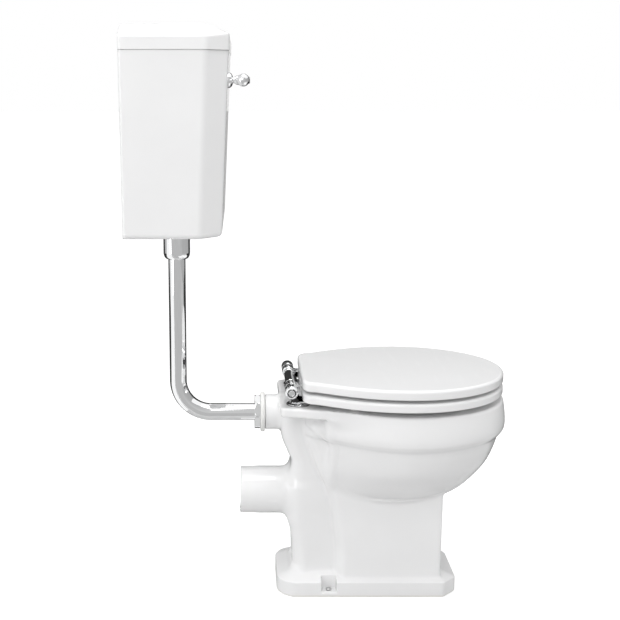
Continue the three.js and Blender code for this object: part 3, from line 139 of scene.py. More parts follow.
class Kit:
    """Adds nodes to one tree."""

    def __init__(self, tree: bpy.types.NodeTree) -> None:
        """Empties the tree that is to be filled."""
        self.tree = tree
        tree.nodes.clear()

    def node(self, kind: str, settings: dict | None = None, inputs: dict | None = None) -> bpy.types.Node:
        """Adds any node.

        Args:
            kind: the node's type.
            settings: its attributes, set first.
            inputs: socket names or places, with a value, a Value or a socket for each.

        Returns:
            The node.
        """
        made = self.tree.nodes.new(kind)
        for key, value in (settings or {}).items():
            setattr(made, key, value)
        for key, value in (inputs or {}).items():
            source = value.socket if isinstance(value, Value) else value
            if isinstance(source, bpy.types.NodeSocket):
                self.tree.links.new(source, made.inputs[key])
            else:
                made.inputs[key].default_value = source
        return made

    def math(self, operation: str, *operands: Value | float) -> Value:
        """Adds a Math node with its operands in order, and returns its result."""
        made = self.node("ShaderNodeMath", {"operation": operation}, dict(enumerate(operands)))
        return Value(self, made.outputs[0])

    def place(self, stretch: Triple = (1, 1, 1)) -> bpy.types.NodeSocket:
        """Object coordinates, so that a pattern repeats closer along each axis by the stretch."""
        where = self.node("ShaderNodeTexCoord").outputs["Object"]
        return self.node("ShaderNodeMapping", {}, {"Vector": where, "Scale": stretch}).outputs[0]

    def noise(self, scale: float, detail: float = 2.0, stretch: Triple = (1, 1, 1), rough: float = 0.5) -> Value:
        """Smooth noise about 0.5 on Object coordinates, its scale in repeats to the metre.

        Detail is how many finer layers are added, and rough is how strong they are.
        """
        inputs = {"Vector": self.place(stretch), "Scale": scale, "Detail": detail, "Roughness": rough}
        return Value(self, self.node("ShaderNodeTexNoise", {}, inputs).outputs[0])

    def mix(self, share: Value | float, low: tuple | bpy.types.NodeSocket,
            high: tuple | bpy.types.NodeSocket) -> bpy.types.NodeSocket:
        """Mixes two colours.

        Args:
            share: how much of the second colour shows.
            low: the first colour.
            high: the second colour.

        Returns:
            The mixed colour's socket.
        """
        low = (*low, 1.0) if isinstance(low, tuple) else low
        high = (*high, 1.0) if isinstance(high, tuple) else high
        made = self.node("ShaderNodeMix", {"data_type": "RGBA"}, {0: share, 6: low, 7: high})
        return made.outputs[2]

    def bump(self, height: Value, depth_mm: float, onto: bpy.types.NodeSocket | None = None) -> bpy.types.NodeSocket:
        """Turns a height into a normal.

        Args:
            height: the height, where 1 is the full depth.
            depth_mm: the relief's depth.
            onto: an earlier bump's normal to build on.

        Returns:
            The normal's socket.
        """
        inputs = {"Height": height, "Distance": depth_mm * MM, "Strength": 1.0}
        if onto is not None:
            inputs["Normal"] = onto
        return self.node("ShaderNodeBump", {}, inputs).outputs[0]

    def attribute(self, name: str) -> Value:
        """The number stored under a name on the piece's vertices."""
        made = self.node("ShaderNodeAttribute", {"attribute_name": name})
        return Value(self, made.outputs["Fac"])


@dataclass(frozen=True)
class Finish:
    """A finish: its plain values, and a method that adds the detail of the real surface."""

    slot: str
    colour: Triple
    roughness: float
    metallic: float = 0.0
    coat: float = 0.0

    def detail(self, kit: Kit) -> dict:
        """The sockets of the surface shader that vary over the surface, and what feeds them."""
        return {}

    def material(self) -> bpy.types.Material:
        """Makes the finish's material, or finds it again.

        Returns:
            The material.
        """
        name = f"{self.slot}_finish"
        made = bpy.data.materials.get(name)
        if made:
            return made
        made = bpy.data.materials.new(name)
        made.use_nodes = True
        kit = Kit(made.node_tree)
        inputs = {
            "Base Color": (*self.colour, 1.0),
            "Roughness": self.roughness,
            "Metallic": self.metallic,
            "Coat Weight": self.coat,
            "Coat Roughness": COAT_ROUGHNESS,
        }
        inputs.update(self.detail(kit))
        surface = kit.node("ShaderNodeBsdfPrincipled", {}, inputs)
        kit.node("ShaderNodeOutputMaterial", {}, {"Surface": surface.outputs[0]})
        return made


@dataclass(frozen=True)
class Glaze(Finish):
    """White glaze on vitreous china, bare and rougher where the "bare" attribute is 1."""

    wave: float = 0.22
    bisque: Triple = (0.78, 0.74, 0.66)

    def detail(self, kit: Kit) -> dict:
        """Cloudy thickness in the glaze, its slow waves and fine peel, and bare clay where unglazed.

        Args:
            kit: the material's kit.

        Returns:
            The sockets' names and what feeds them.
        """
        cloud = kit.noise(7.0, 3.0)
        bare = kit.attribute("bare")
        thin = tuple(c * 0.975 for c in self.colour)
        glazed = kit.mix(cloud.between(0.3, 0.7), thin, self.colour)
        colour = kit.mix(bare, glazed, self.bisque)
        speck = kit.noise(900.0, 1.0)
        roughness = self.roughness + 0.035 * kit.noise(24.0, 2.0) + 0.55 * bare
        waves = kit.bump(kit.noise(16.0, 1.0), self.wave)
        peel = kit.bump(kit.noise(260.0, 1.0), 0.012, waves)
        grain = kit.bump(speck * bare, 0.12, peel)
        return {"Base Color": colour, "Roughness": roughness, "Normal": grain}


@dataclass(frozen=True)
class Moulded(Finish):
    """Moulded plastic: faint flow marks, a fine skin, and light scuffs."""

    peel: float = 0.02
    scuff: float = 0.06

    def detail(self, kit: Kit) -> dict:
        """Slow shade changes, a fine pebbled skin and rubbed streaks in the gloss.

        Args:
            kit: the material's kit.

        Returns:
            The sockets' names and what feeds them.
        """
        flow = kit.noise(9.0, 2.0)
        low = tuple(c * 0.98 for c in self.colour)
        streaks = kit.noise(60.0, 3.0, (1, 0.15, 1)).between(0.52, 0.75)
        return {
            "Base Color": kit.mix(flow, low, self.colour),
            "Roughness": self.roughness + self.scuff * streaks,
            "Normal": kit.bump(kit.noise(420.0, 2.0), self.peel),
        }


@dataclass(frozen=True)
class Plated(Finish):
    """Polished or brushed metal: smears and fine lines in the gloss, dulled in places."""

    smear: float = 0.05
    line: float = 0.0
    dull: Triple = (0.55, 0.54, 0.52)
    tarnish: float = 0.0

    def detail(self, kit: Kit) -> dict:
        """Finger smears, polishing lines and, on bare metal, tarnish in cloudy patches.

        Args:
            kit: the material's kit.

        Returns:
            The sockets' names and what feeds them.
        """
        smears = kit.noise(45.0, 4.0, rough=0.6).between(0.45, 0.75)
        lines = kit.noise(900.0, 2.0, (1, 1, 0.04))
        patches = kit.noise(70.0, 4.0, rough=0.65).between(0.4, 0.75) * self.tarnish
        return {
            "Base Color": kit.mix(patches, self.colour, self.dull),
            "Roughness": self.roughness + self.smear * smears + 0.35 * patches + self.line * lines,
            "Normal": kit.bump(lines, 0.004 + 0.02 * self.line),
        }


@dataclass(frozen=True)
class Rubber(Finish):
    """Moulded rubber: matt, with a dusty bloom and a fine grain."""

    bloom: Triple = (0.12, 0.12, 0.12)

    def detail(self, kit: Kit) -> dict:
        """A pale bloom in patches over a fine grain.

        Args:
            kit: the material's kit.

        Returns:
            The sockets' names and what feeds them.
        """
        patches = kit.noise(120.0, 4.0, rough=0.6).between(0.35, 0.8)
        return {
            "Base Color": kit.mix(patches, self.colour, self.bloom),
            "Roughness": self.roughness - 0.12 * patches,
            "Normal": kit.bump(kit.noise(1500.0, 2.0), 0.03),
        }


CERAMIC = Glaze("ceramic", (0.87, 0.87, 0.872), 0.07)
SEAT_WHITE = Moulded("seat_white", (0.86, 0.86, 0.862), 0.2, coat=0.15, peel=0.004, scuff=0.04)
CHROME = Plated("chrome", (0.93, 0.935, 0.94), 0.03, 1.0, smear=0.03)
STEEL = Plated("steel", (0.6, 0.6, 0.6), 0.28, 1.0, line=0.12)
BRASS = Plated("brass", (0.62, 0.46, 0.2), 0.3, 1.0, tarnish=0.6, line=0.05, dull=(0.28, 0.2, 0.1))
BLACK_RUBBER = Rubber("rubber", (0.025, 0.025, 0.026), 0.75, bloom=(0.05, 0.05, 0.052))
WHITE_RUBBER = Rubber("collar_white", (0.8, 0.8, 0.78), 0.5, bloom=(0.84, 0.84, 0.83))
VALVE_PLASTIC = Moulded("plastic", (0.78, 0.785, 0.775), 0.38)


# ------------------------------------------------------------------ outlines and surfaces
def ease(corners: Sequence[Triple], closed: bool = False, steps: int = 5) -> Array:
    """Rounds the corners of a flat outline.

    Each corner of radius r is replaced by the arc that touches both its edges: with h half the angle
    between them, the arc starts r / tan(h) along each edge, its centre lies r / sin(h) along the
    bisector, and its points turn evenly from the first touching point to the second.

    Args:
        corners: (first, second, radius) of each corner, in order.
        closed: whether the last corner joins the first.
        steps: the arc's segments.

    Returns:
        The outline's points, (n, 2).
    """
    data = np.array(corners, float)
    here, radius = data[:, :2], data[:, 2:].copy()
    back, on = np.roll(here, 1, 0) - here, np.roll(here, -1, 0) - here
    if not closed:
        radius[[0, -1]] = 0.0
    reach = np.minimum(np.linalg.norm(back, axis=1), np.linalg.norm(on, axis=1))[:, None] * 0.499
    back /= np.linalg.norm(back, axis=1)[:, None] + TINY
    on /= np.linalg.norm(on, axis=1)[:, None] + TINY
    half = np.arccos(np.clip((back * on).sum(1), -1, 1))[:, None] / 2
    half = np.clip(half, 1e-3, math.pi / 2 - 1e-6)
    touch = np.minimum(radius / np.tan(half), reach)
    radius = touch * np.tan(half)
    middle = back + on
    middle /= np.linalg.norm(middle, axis=1)[:, None] + TINY
    centre = here + middle * radius / np.sin(half)
    start, end = here + back * touch - centre, here + on * touch - centre
    sweep = np.pi - 2 * half
    share = np.linspace(0, 1, steps + 1)[None, :, None]
    safe = np.maximum(sweep, 1e-6)[:, None]
    arc = np.sin((1 - share) * safe) * start[:, None] + np.sin(share * safe) * end[:, None]
    return (centre[:, None] + arc / np.sin(safe)).reshape(-1, 2)


def resample(points: Array, count: int) -> Array:
    """Points at even distances along an open line, its ends kept.

    Args:
        points: the line, (n, dimensions).
        count: how many points to return.

    Returns:
        The new points.
    """
    steps = np.linalg.norm(np.diff(points, axis=0), axis=1)
    along = np.concatenate([[0.0], np.cumsum(steps)])
    places = np.linspace(0, along[-1], count)
    return np.stack([np.interp(places, along, points[:, i]) for i in range(points.shape[1])], 1)


def bezier(*controls: Pair, count: int = 60) -> Array:
    """A Bezier curve of any degree: the controls are mixed pairwise until one point is left.

    Args:
        controls: the control points.
        count: how many points to return.

    Returns:
        The curve, (count, 2).
    """
    share = np.linspace(0, 1, count)[:, None, None]
    level = np.repeat(np.array(controls, float)[None], count, 0)
    while level.shape[1] > 1:
        level = level[:, :-1] * (1 - share) + level[:, 1:] * share
    return level[:, 0]


@dataclass(frozen=True)
class Egg:
    """An egg outline: half an ellipse in front, a fuller curve behind and a blunt, rounded back."""

    front: float
    back: float
    half: float
    back_half: float | None = None
    corner: float | None = None
    centre: float = 560.0

    def near_half(self) -> Array:
        """The outline's near half, from the middle of the back to the front.

        A straight back, a quadratic corner, a cubic flank whose controls lie 0.63 and 0.37 of the way
        back from the widest place, and a quarter of an ellipse.

        Returns:
            The points, (n, 2), with y at or below 0.
        """
        back_half = self.back_half or 0.69 * self.half
        corner = self.corner or 0.2 * self.half
        reach = self.centre - self.back
        turn = (self.back + 0.12 * reach, -back_half)
        flank = bezier(
            turn,
            (self.centre - 0.63 * reach, -(self.half + back_half) / 2),
            (self.centre - 0.37 * reach, -self.half),
            (self.centre, -self.half),
        )
        angle = np.linspace(-math.pi / 2, 0, 90)
        nose = np.stack([self.centre + (self.front - self.centre) * np.cos(angle), self.half * np.sin(angle)], 1)
        edge = bezier((self.back, corner - back_half), (self.back, -back_half), turn, count=30)
        return np.concatenate([[(self.back, 0.0)], edge, flank[1:], nose[1:]])

    def loop(self, count: int = 192) -> Array:
        """The outline's even number of points, from the middle of the back along the near side.

        Args:
            count: how many points, an even number.

        Returns:
            The points, (count, 2).
        """
        near = resample(self.near_half(), count // 2 + 1)
        far = near[-2:0:-1] * (1, -1)
        return np.concatenate([near, far])


def level_row(outline: Array, z: float | Array) -> Array:
    """Lifts a flat outline's points to a height, or each to its own height."""
    return np.column_stack([outline, np.broadcast_to(z, len(outline))])


def spread(row: Array, centre: Pair, shares: Sequence[float], z: float, crown: float = 0.0) -> list[Array]:
    """Rows that shrink from an outline to a centre in plan, to close a surface at a pole.

    A row of share s is s times as large and lies at the height z + crown (1 - s^2).
    """
    middle = np.array(centre)
    return [level_row(middle + (row[:, :2] - middle) * share, z + crown * (1 - share**2)) for share in shares]


def turn_grid(profile: Array, origin: Sequence[float], axis: Axis, sides: int) -> Array:
    """Turns a profile: each point (radius, along) becomes a circle about the axis.

    Args:
        profile: the points, (n, 2).
        origin: the axis's zero point, in millimetres.
        axis: the axis's direction.
        sides: how many points each circle has.

    Returns:
        The grid, (n, sides, 3).
    """
    angle = np.linspace(0, 2 * math.pi, sides, endpoint=False)
    radius, along = profile[:, :1], np.repeat(profile[:, 1:], sides, 1)
    first, second = radius * np.cos(angle), radius * np.sin(angle)
    order = {Axis.X: (along, first, second), Axis.Y: (second, along, first), Axis.Z: (first, second, along)}
    return np.stack(order[axis], -1) + np.array(origin, float)


def pipe_grid(path: Array, radii: Array, sides: int) -> Array:
    """Circles square to a path in the plane y = 0, at each of its points.

    The across direction is the path's tangent turned by a right angle, so that a circle's point is
    the path's point plus radius times (cos of the turn times across, plus sin of the turn times y).

    Args:
        path: the middle line's (x, z) points.
        radii: one radius for each point.
        sides: how many points each circle has.

    Returns:
        The grid, (n, sides, 3).
    """
    tangent = np.gradient(path, axis=0)
    tangent /= np.linalg.norm(tangent, axis=1)[:, None]
    across = np.stack([-tangent[:, 1], tangent[:, 0]], 1)
    angle = np.linspace(0, 2 * math.pi, sides, endpoint=False)
    out, side = radii[:, None] * np.cos(angle), radii[:, None] * np.sin(angle)
    x = path[:, :1] + across[:, :1] * out
    z = path[:, 1:] + across[:, 1:] * out
    return np.stack([x, side, z], -1)


def grid_faces(rows: int, columns: int, ring: bool) -> Array:
    """The quads of a grid that is joined round its columns.

    Args:
        rows: how many rows of points.
        columns: how many points in a row.
        ring: whether the last row joins the first.

    Returns:
        The corners' numbers, (n, 4).
    """
    row = np.arange(rows if ring else rows - 1)[:, None]
    column = np.arange(columns)[None]
    after = (row + 1) % rows
    on = (column + 1) % columns
    corners = [row * columns + column, row * columns + on, after * columns + on, after * columns + column]
    return np.stack(np.broadcast_arrays(*corners), -1).reshape(-1, 4)


@dataclass
class Mesh:
    """Points and faces of one piece, in millimetres from the wall."""

    points: Array
    faces: list[Array]

    @classmethod
    def grid(cls, grid: Array, ring: bool = False) -> "Mesh":
        """A surface over a grid of points joined round its columns."""
        rows, columns = grid.shape[:2]
        return cls(grid.reshape(-1, 3), [grid_faces(rows, columns, ring)])

    def __add__(self, other: "Mesh") -> "Mesh":
        """Both surfaces as one mesh."""
        moved = [faces + len(self.points) for faces in other.faces]
        return Mesh(np.concatenate([self.points, other.points]), [*self.faces, *moved])

    def moved(self, by: Sequence[float]) -> "Mesh":
        """The same surface, moved."""
        return Mesh(self.points + np.array(by, float), self.faces)

    def turned_about(self, pivot: Sequence[float], axis: Axis, degrees: float) -> "Mesh":
        """The same surface turned about a line parallel to an axis.

        Args:
            pivot: a point on the line.
            axis: the line's direction.
            degrees: the turn, by the right-hand rule.

        Returns:
            The turned surface.
        """
        a = math.radians(degrees)
        i, j = {Axis.X: (1, 2), Axis.Y: (2, 0), Axis.Z: (0, 1)}[axis]
        out = self.points - np.array(pivot, float)
        first, second = out[:, i].copy(), out[:, j].copy()
        out[:, i] = first * math.cos(a) - second * math.sin(a)
        out[:, j] = first * math.sin(a) + second * math.cos(a)
        return Mesh(out + np.array(pivot, float), self.faces)


def turned(corners: Sequence[Triple], origin: Sequence[float] = (0, 0, 0), axis: Axis = Axis.Z,
           sides: int = 64, hollow: bool = False) -> Mesh:
    """A turned piece with eased edges from (radius, distance along the axis, rounding) corners.

    A hollow piece's profile closes on itself, as a ring's does.
    """
    return Mesh.grid(turn_grid(ease(corners, hollow), origin, axis, sides), hollow)


def extruded(outline: Array, low: float, high: float, axis: Axis, edge: float = 0.6) -> Mesh:
    """A plate with eased edges from an outline, along an axis.

    Six rows of the outline go up its side, the first two and the last two drawn in by shares of the
    easing, and one flat face closes each end.

    Args:
        outline: the plate's points in the plane across the axis, (n, 2).
        low: where it starts along the axis.
        high: where it ends.
        axis: the axis.
        edge: the easing's size.

    Returns:
        The surface.
    """
    tangent = np.roll(outline, -1, 0) - np.roll(outline, 1, 0)
    tangent /= np.linalg.norm(tangent, axis=1)[:, None] + TINY
    inward = np.stack([-tangent[:, 1], tangent[:, 0]], 1)
    area = 0.5 * np.sum(outline[:, 0] * np.roll(outline[:, 1], -1) - np.roll(outline[:, 0], -1) * outline[:, 1])
    inward *= np.sign(area)
    shares = [(low, edge), (low + edge * 0.3, edge * 0.3), (low + edge, 0), (high - edge, 0),
              (high - edge * 0.3, edge * 0.3), (high, edge)]
    rows = [level_row(outline + inward * draw, at) for at, draw in shares]
    grid = np.stack(rows)
    order = {Axis.X: [2, 0, 1], Axis.Y: [0, 2, 1], Axis.Z: [0, 1, 2]}[axis]
    grid = grid[:, :, order]
    made = Mesh.grid(grid)
    count = len(outline)
    caps = [np.arange(count)[None], np.arange(count)[None] + (len(rows) - 1) * count]
    return Mesh(made.points, [*made.faces, *caps])


# ------------------------------------------------------------------ pieces
def to_frame(points: Array) -> Array:
    """Millimetres from the wall to metres in the frame."""
    return (points - (WALL_TO_ORIGIN, 0, 0)) * MM


def add_piece(name: str, mesh: Mesh, body: Body, finish: Finish, stands_for: Sequence[str] = (),
              crease: float = 40.0, normals: Array | None = None) -> bpy.types.Object:
    """Makes a Blender piece from a surface, dresses it and lets it ride on its body.

    Doubled points are merged, faces are turned outwards, edges sharper than the crease stay sharp,
    and the shading normals are weighted by the faces' areas, unless exact ones are given.

    Args:
        name: the piece's name.
        mesh: its surface.
        body: the body it rides on.
        finish: its finish.
        stands_for: the nodes it replaces.
        crease: the least angle of a sharp edge, in degrees.
        normals: exact normals, one for each point of a surface with no doubled points.

    Returns:
        The piece.
    """
    data = bpy.data.meshes.new(name)
    faces = [face.tolist() for face in mesh.faces]
    data.from_pydata(to_frame(mesh.points), [], [corners for group in faces for corners in group])
    if normals is None:
        shape = bmesh.new()
        shape.from_mesh(data)
        bmesh.ops.remove_doubles(shape, verts=shape.verts, dist=MERGE_METRES)
        bmesh.ops.recalc_face_normals(shape, faces=shape.faces)
        shape.to_mesh(data)
        shape.free()
    data.shade_smooth()
    piece = bpy.data.objects.new(name, data)
    bpy.context.scene.collection.objects.link(piece)
    if normals is None:
        data.set_sharp_from_angle(angle=math.radians(crease))
        weighted = piece.modifiers.new("weighted", "WEIGHTED_NORMAL")
        weighted.keep_sharp = True
    else:
        data.normals_split_custom_set_from_vertices(normals)
    data.materials.append(finish.material())
    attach(piece, body.value)
    if stands_for:
        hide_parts(*stands_for)
    log.info("%s: %d points on %s", name, len(data.vertices), body.value)
    return piece


# ------------------------------------------------------------------ shapes given by a distance
def smooth_min(a: Array, b: Array, blend: float) -> Array:
    """Joins two solids, given their distances, with a fillet.

    Where the distances differ by less than the blend, their minimum is lowered by h^2 / (4 blend),
    where h is the blend less their difference.
    """
    h = np.maximum(blend - np.abs(a - b), 0.0)
    return np.minimum(a, b) - h * h / (4 * blend)


def smooth_max(a: Array, b: Array, blend: float) -> Array:
    """What two solids share, with a rounded edge: the mirror image of a filleted join."""
    return -smooth_min(-a, -b, blend)


def ease_in(share: Array) -> Array:
    """The smooth step 3t^2 - 2t^3 of a share held between 0 and 1."""
    t = np.clip(share, 0, 1)
    return t * t * (3 - 2 * t)


def carve(solid: Array, cutter: Array, edge: float) -> Array:
    """Cuts one solid out of another, leaving a rounded edge."""
    return smooth_max(solid, -cutter, edge)


def rounded_corner(a: Array, b: Array, radius: float) -> Array:
    """What two solids at a right angle share, given their distances, with a rounded edge.

    Both are drawn in by the radius. Where a point is outside both of those, its distance is to the
    line they meet in, and elsewhere it is to the nearer face. The radius is then taken off again.
    """
    a, b = a + radius, b + radius
    return np.hypot(np.maximum(a, 0), np.maximum(b, 0)) + np.minimum(np.maximum(a, b), 0) - radius


def rounded_rectangle(u: Array, v: Array, half_u: Array | float, half_v: Array | float, corner: float) -> Array:
    """Distance in the plane to a rectangle about the origin, from half its sizes and its corners' radius."""
    return rounded_corner(np.abs(u) - half_u, np.abs(v) - half_v, corner)


def slab_of(plan: Array, z: Array, low: float, high: float, edge: float) -> Array:
    """Distance to an upright block over a plan, with rounded upper and lower edges."""
    return rounded_corner(plan, np.abs(z - (low + high) / 2) - (high - low) / 2, edge)


def rod_x(x: Array, y: Array, z: Array, height: float, radius: float, low: float, high: float, edge: float) -> Array:
    """Distance to a level round rod along x in the middle plane."""
    return slab_of(np.hypot(y, z - height) - radius, x, low, high, edge)


@dataclass
class EggStack:
    """A solid whose level sections are eggs that change with height.

    For each of many heights the egg's radius about a moving centre is tabled against the bearing.
    The distance at a point is its own radius less the tabled one, divided by the length of the
    gradient, sqrt(1 + (dR/dbearing / R)^2 + (dR/dz)^2), so it is true near the surface.
    """

    heights: Array
    fronts: Array
    backs: Array
    halves: Array
    centres: Array
    levels: int = 220
    bearings: int = 181

    def __post_init__(self) -> None:
        """Fills the table."""
        fine = np.linspace(self.heights[0], self.heights[-1], self.levels)
        rows = np.stack([smooth_curve(self.heights, v, fine) for v in
                         (self.fronts, self.backs, self.halves, self.centres)], 1)
        bearing = np.linspace(0, math.pi, self.bearings)
        self.table = np.stack([self._radii(row, bearing) for row in rows])
        self.middle = rows[:, 3]
        step_z, step_b = fine[1] - fine[0], bearing[1] - bearing[0]
        by_z, by_bearing = np.gradient(self.table, step_z, step_b)
        self.slope = np.sqrt(1 + (by_bearing / self.table) ** 2 + by_z**2)

    def _radii(self, row: Array, bearing: Array) -> Array:
        """The egg's radius at each bearing from straight ahead, by interpolation on its outline.

        Args:
            row: the egg's front, back, half width and centre.
            bearing: the bearings.

        Returns:
            The radii.
        """
        front, back, half, centre = row
        near = Egg(front=front, back=back, half=half, centre=centre).near_half()
        away = near - (centre, 0)
        angle = np.arctan2(-away[:, 1], away[:, 0])
        radius = np.hypot(*away.T)
        order = np.argsort(angle)
        return np.interp(bearing, angle[order], radius[order])

    def _look_up(self, table: Array, level: Array, bearing: Array) -> Array:
        """Bilinear interpolation in a table.

        Args:
            table: the values by level and bearing.
            level: places along the levels.
            bearing: places along the bearings.

        Returns:
            The values.
        """
        i = np.clip(level.astype(int), 0, table.shape[0] - 2)
        j = np.clip(bearing.astype(int), 0, table.shape[1] - 2)
        u, v = np.clip(level - i, 0, 1), np.clip(bearing - j, 0, 1)
        low = table[i, j] * (1 - v) + table[i, j + 1] * v
        high = table[i + 1, j] * (1 - v) + table[i + 1, j + 1] * v
        return low * (1 - u) + high * u

    def distance(self, x: Array, y: Array, z: Array, outwards: float = 0.0) -> Array:
        """Signed distance to the side of the stack.

        Args:
            x: first coordinate.
            y: second coordinate.
            z: height, held at the table's ends beyond them.
            outwards: how much wider than the table the solid is.

        Returns:
            The distance.
        """
        span = self.heights[-1] - self.heights[0]
        level = np.clip((z - self.heights[0]) / span, 0, 1) * (self.levels - 1)
        centre = np.interp(level, np.arange(self.levels), self.middle)
        radius = np.hypot(x - centre, y)
        bearing = np.arctan2(np.abs(y), x - centre) / math.pi * (self.bearings - 1)
        edge = self._look_up(self.table, level, bearing)
        return (radius - edge) / self._look_up(self.slope, level, bearing) - outwards


def smooth_curve(places: Array, values: Array, wanted: Array) -> Array:
    """A curve through points that never overshoots them.

    Each point's slope is the harmonic mean of the slopes on its two sides, or 0 at a peak, and a
    cubic joins each pair of points.

    Args:
        places: where the points lie, in rising order.
        values: their values.
        wanted: where the curve is read.

    Returns:
        The curve's values.
    """
    gap = np.diff(places)
    rise = np.diff(values) / gap
    slope = np.concatenate([rise[:1], np.zeros(len(rise) - 1), rise[-1:]])
    both = rise[:-1] * rise[1:] > 0
    mean = 2 * rise[:-1] * rise[1:] / np.where(both, rise[:-1] + rise[1:], 1)
    slope[1:-1] = np.where(both, mean, 0.0)
    i = np.clip(np.searchsorted(places, wanted) - 1, 0, len(gap) - 1)
    t = (wanted - places[i]) / gap[i]
    start = (1 + 2 * t) * (1 - t) ** 2 * values[i] + t * (1 - t) ** 2 * gap[i] * slope[i]
    end = t * t * (3 - 2 * t) * values[i + 1] + t * t * (t - 1) * gap[i] * slope[i + 1]
    return start + end


CORNER_STEPS = np.array([[i, j, k] for i in (0, 1) for j in (0, 1) for k in (0, 1)])
CELL_EDGES = [(a, b) for a in range(8) for b in range(8)
              if a < b and np.abs(CORNER_STEPS[a] - CORNER_STEPS[b]).sum() == 1]


def surface_net(field: Field, low: Array, high: Array, spacing: float) -> tuple[Array, Array]:
    """The surface where a distance is zero, as quads.

    The field is sampled on a box of cells. Each cell that the surface crosses gets one point, the
    mean of the crossings on its edges, and each grid edge that the surface crosses gets one quad
    between the four cells round it. The points then slide down the gradient onto the surface.

    Args:
        field: the distance, negative inside, of arrays of x, y and z.
        low: the box's lowest corner.
        high: its highest corner.
        spacing: the cells' size.

    Returns:
        The points and the quads' corners.
    """
    axes = [np.arange(a, b + spacing, spacing) for a, b in zip(low, high)]
    x, y, z = np.meshgrid(*axes, indexing="ij")
    value = field(x, y, z)
    inside = value < 0
    cells = tuple(n - 1 for n in inside.shape)
    count = sum(inside[i:i + cells[0], j:j + cells[1], k:k + cells[2]].astype(np.int8) for i, j, k in CORNER_STEPS)
    crossed = np.argwhere((count > 0) & (count < 8))
    number = np.full(cells, -1, np.int64)
    number[tuple(crossed.T)] = np.arange(len(crossed))
    corners = value[tuple((crossed[:, None] + CORNER_STEPS[None]).transpose(2, 0, 1))]
    total, hits = np.zeros((len(crossed), 3)), np.zeros(len(crossed))
    for a, b in CELL_EDGES:
        va, vb = corners[:, a], corners[:, b]
        cut = (va < 0) != (vb < 0)
        share = np.where(cut, va / np.where(cut, va - vb, 1), 0)[:, None]
        total += cut[:, None] * (CORNER_STEPS[a] + share * (CORNER_STEPS[b] - CORNER_STEPS[a]))
        hits += cut
    points = np.array(low) + (crossed + total / hits[:, None]) * spacing
    quads = [edge_quads(inside, number, axis) for axis in range(3)]
    return settle(field, points, spacing), np.concatenate(quads)


def edge_quads(inside: Array, number: Array, axis: int) -> Array:
    """The quads round every crossed grid edge along one axis, facing away from the inside.

    Args:
        inside: which grid points lie inside.
        number: each cell's point, or -1.
        axis: the edges' direction.

    Returns:
        The quads' corners.
    """
    first, second = (axis + 1) % 3, (axis + 2) % 3
    turned_inside = np.moveaxis(inside, (axis, first, second), (0, 1, 2))
    cell = np.moveaxis(number, (axis, first, second), (0, 1, 2))
    a, b = turned_inside[:-1, 1:-1, 1:-1], turned_inside[1:, 1:-1, 1:-1]
    where = np.argwhere(a != b)
    i, j, k = where.T
    quad = np.stack([cell[i, j, k], cell[i, j + 1, k], cell[i, j + 1, k + 1], cell[i, j, k + 1]], 1)
    leaves = a[i, j, k]
    return np.where(leaves[:, None], quad, quad[:, ::-1])


def gradient(field: Field, points: Array, step: float = 0.4) -> Array:
    """The field's gradient by central differences, made unit length.

    Args:
        field: the distance.
        points: where it is taken, (n, 3).
        step: half the differences' width.

    Returns:
        The directions, (n, 3).
    """
    parts = []
    for axis in range(3):
        away = np.zeros(3)
        away[axis] = step
        parts.append(field(*(points + away).T) - field(*(points - away).T))
    out = np.stack(parts, 1)
    return out / (np.linalg.norm(out, axis=1)[:, None] + 1e-9)


def settle(field: Field, points: Array, spacing: float) -> Array:
    """Slides points onto the surface, by at most half a cell in all.

    Args:
        field: the distance.
        points: the points, (n, 3).
        spacing: the cells' size.

    Returns:
        The moved points.
    """
    start = points.copy()
    for _ in range(3):
        points = points - gradient(field, points) * field(*points.T)[:, None]
        away = points - start
        reach = np.linalg.norm(away, axis=1)[:, None]
        points = start + away * np.minimum(1, 0.5 * spacing / (reach + 1e-9))
    return points


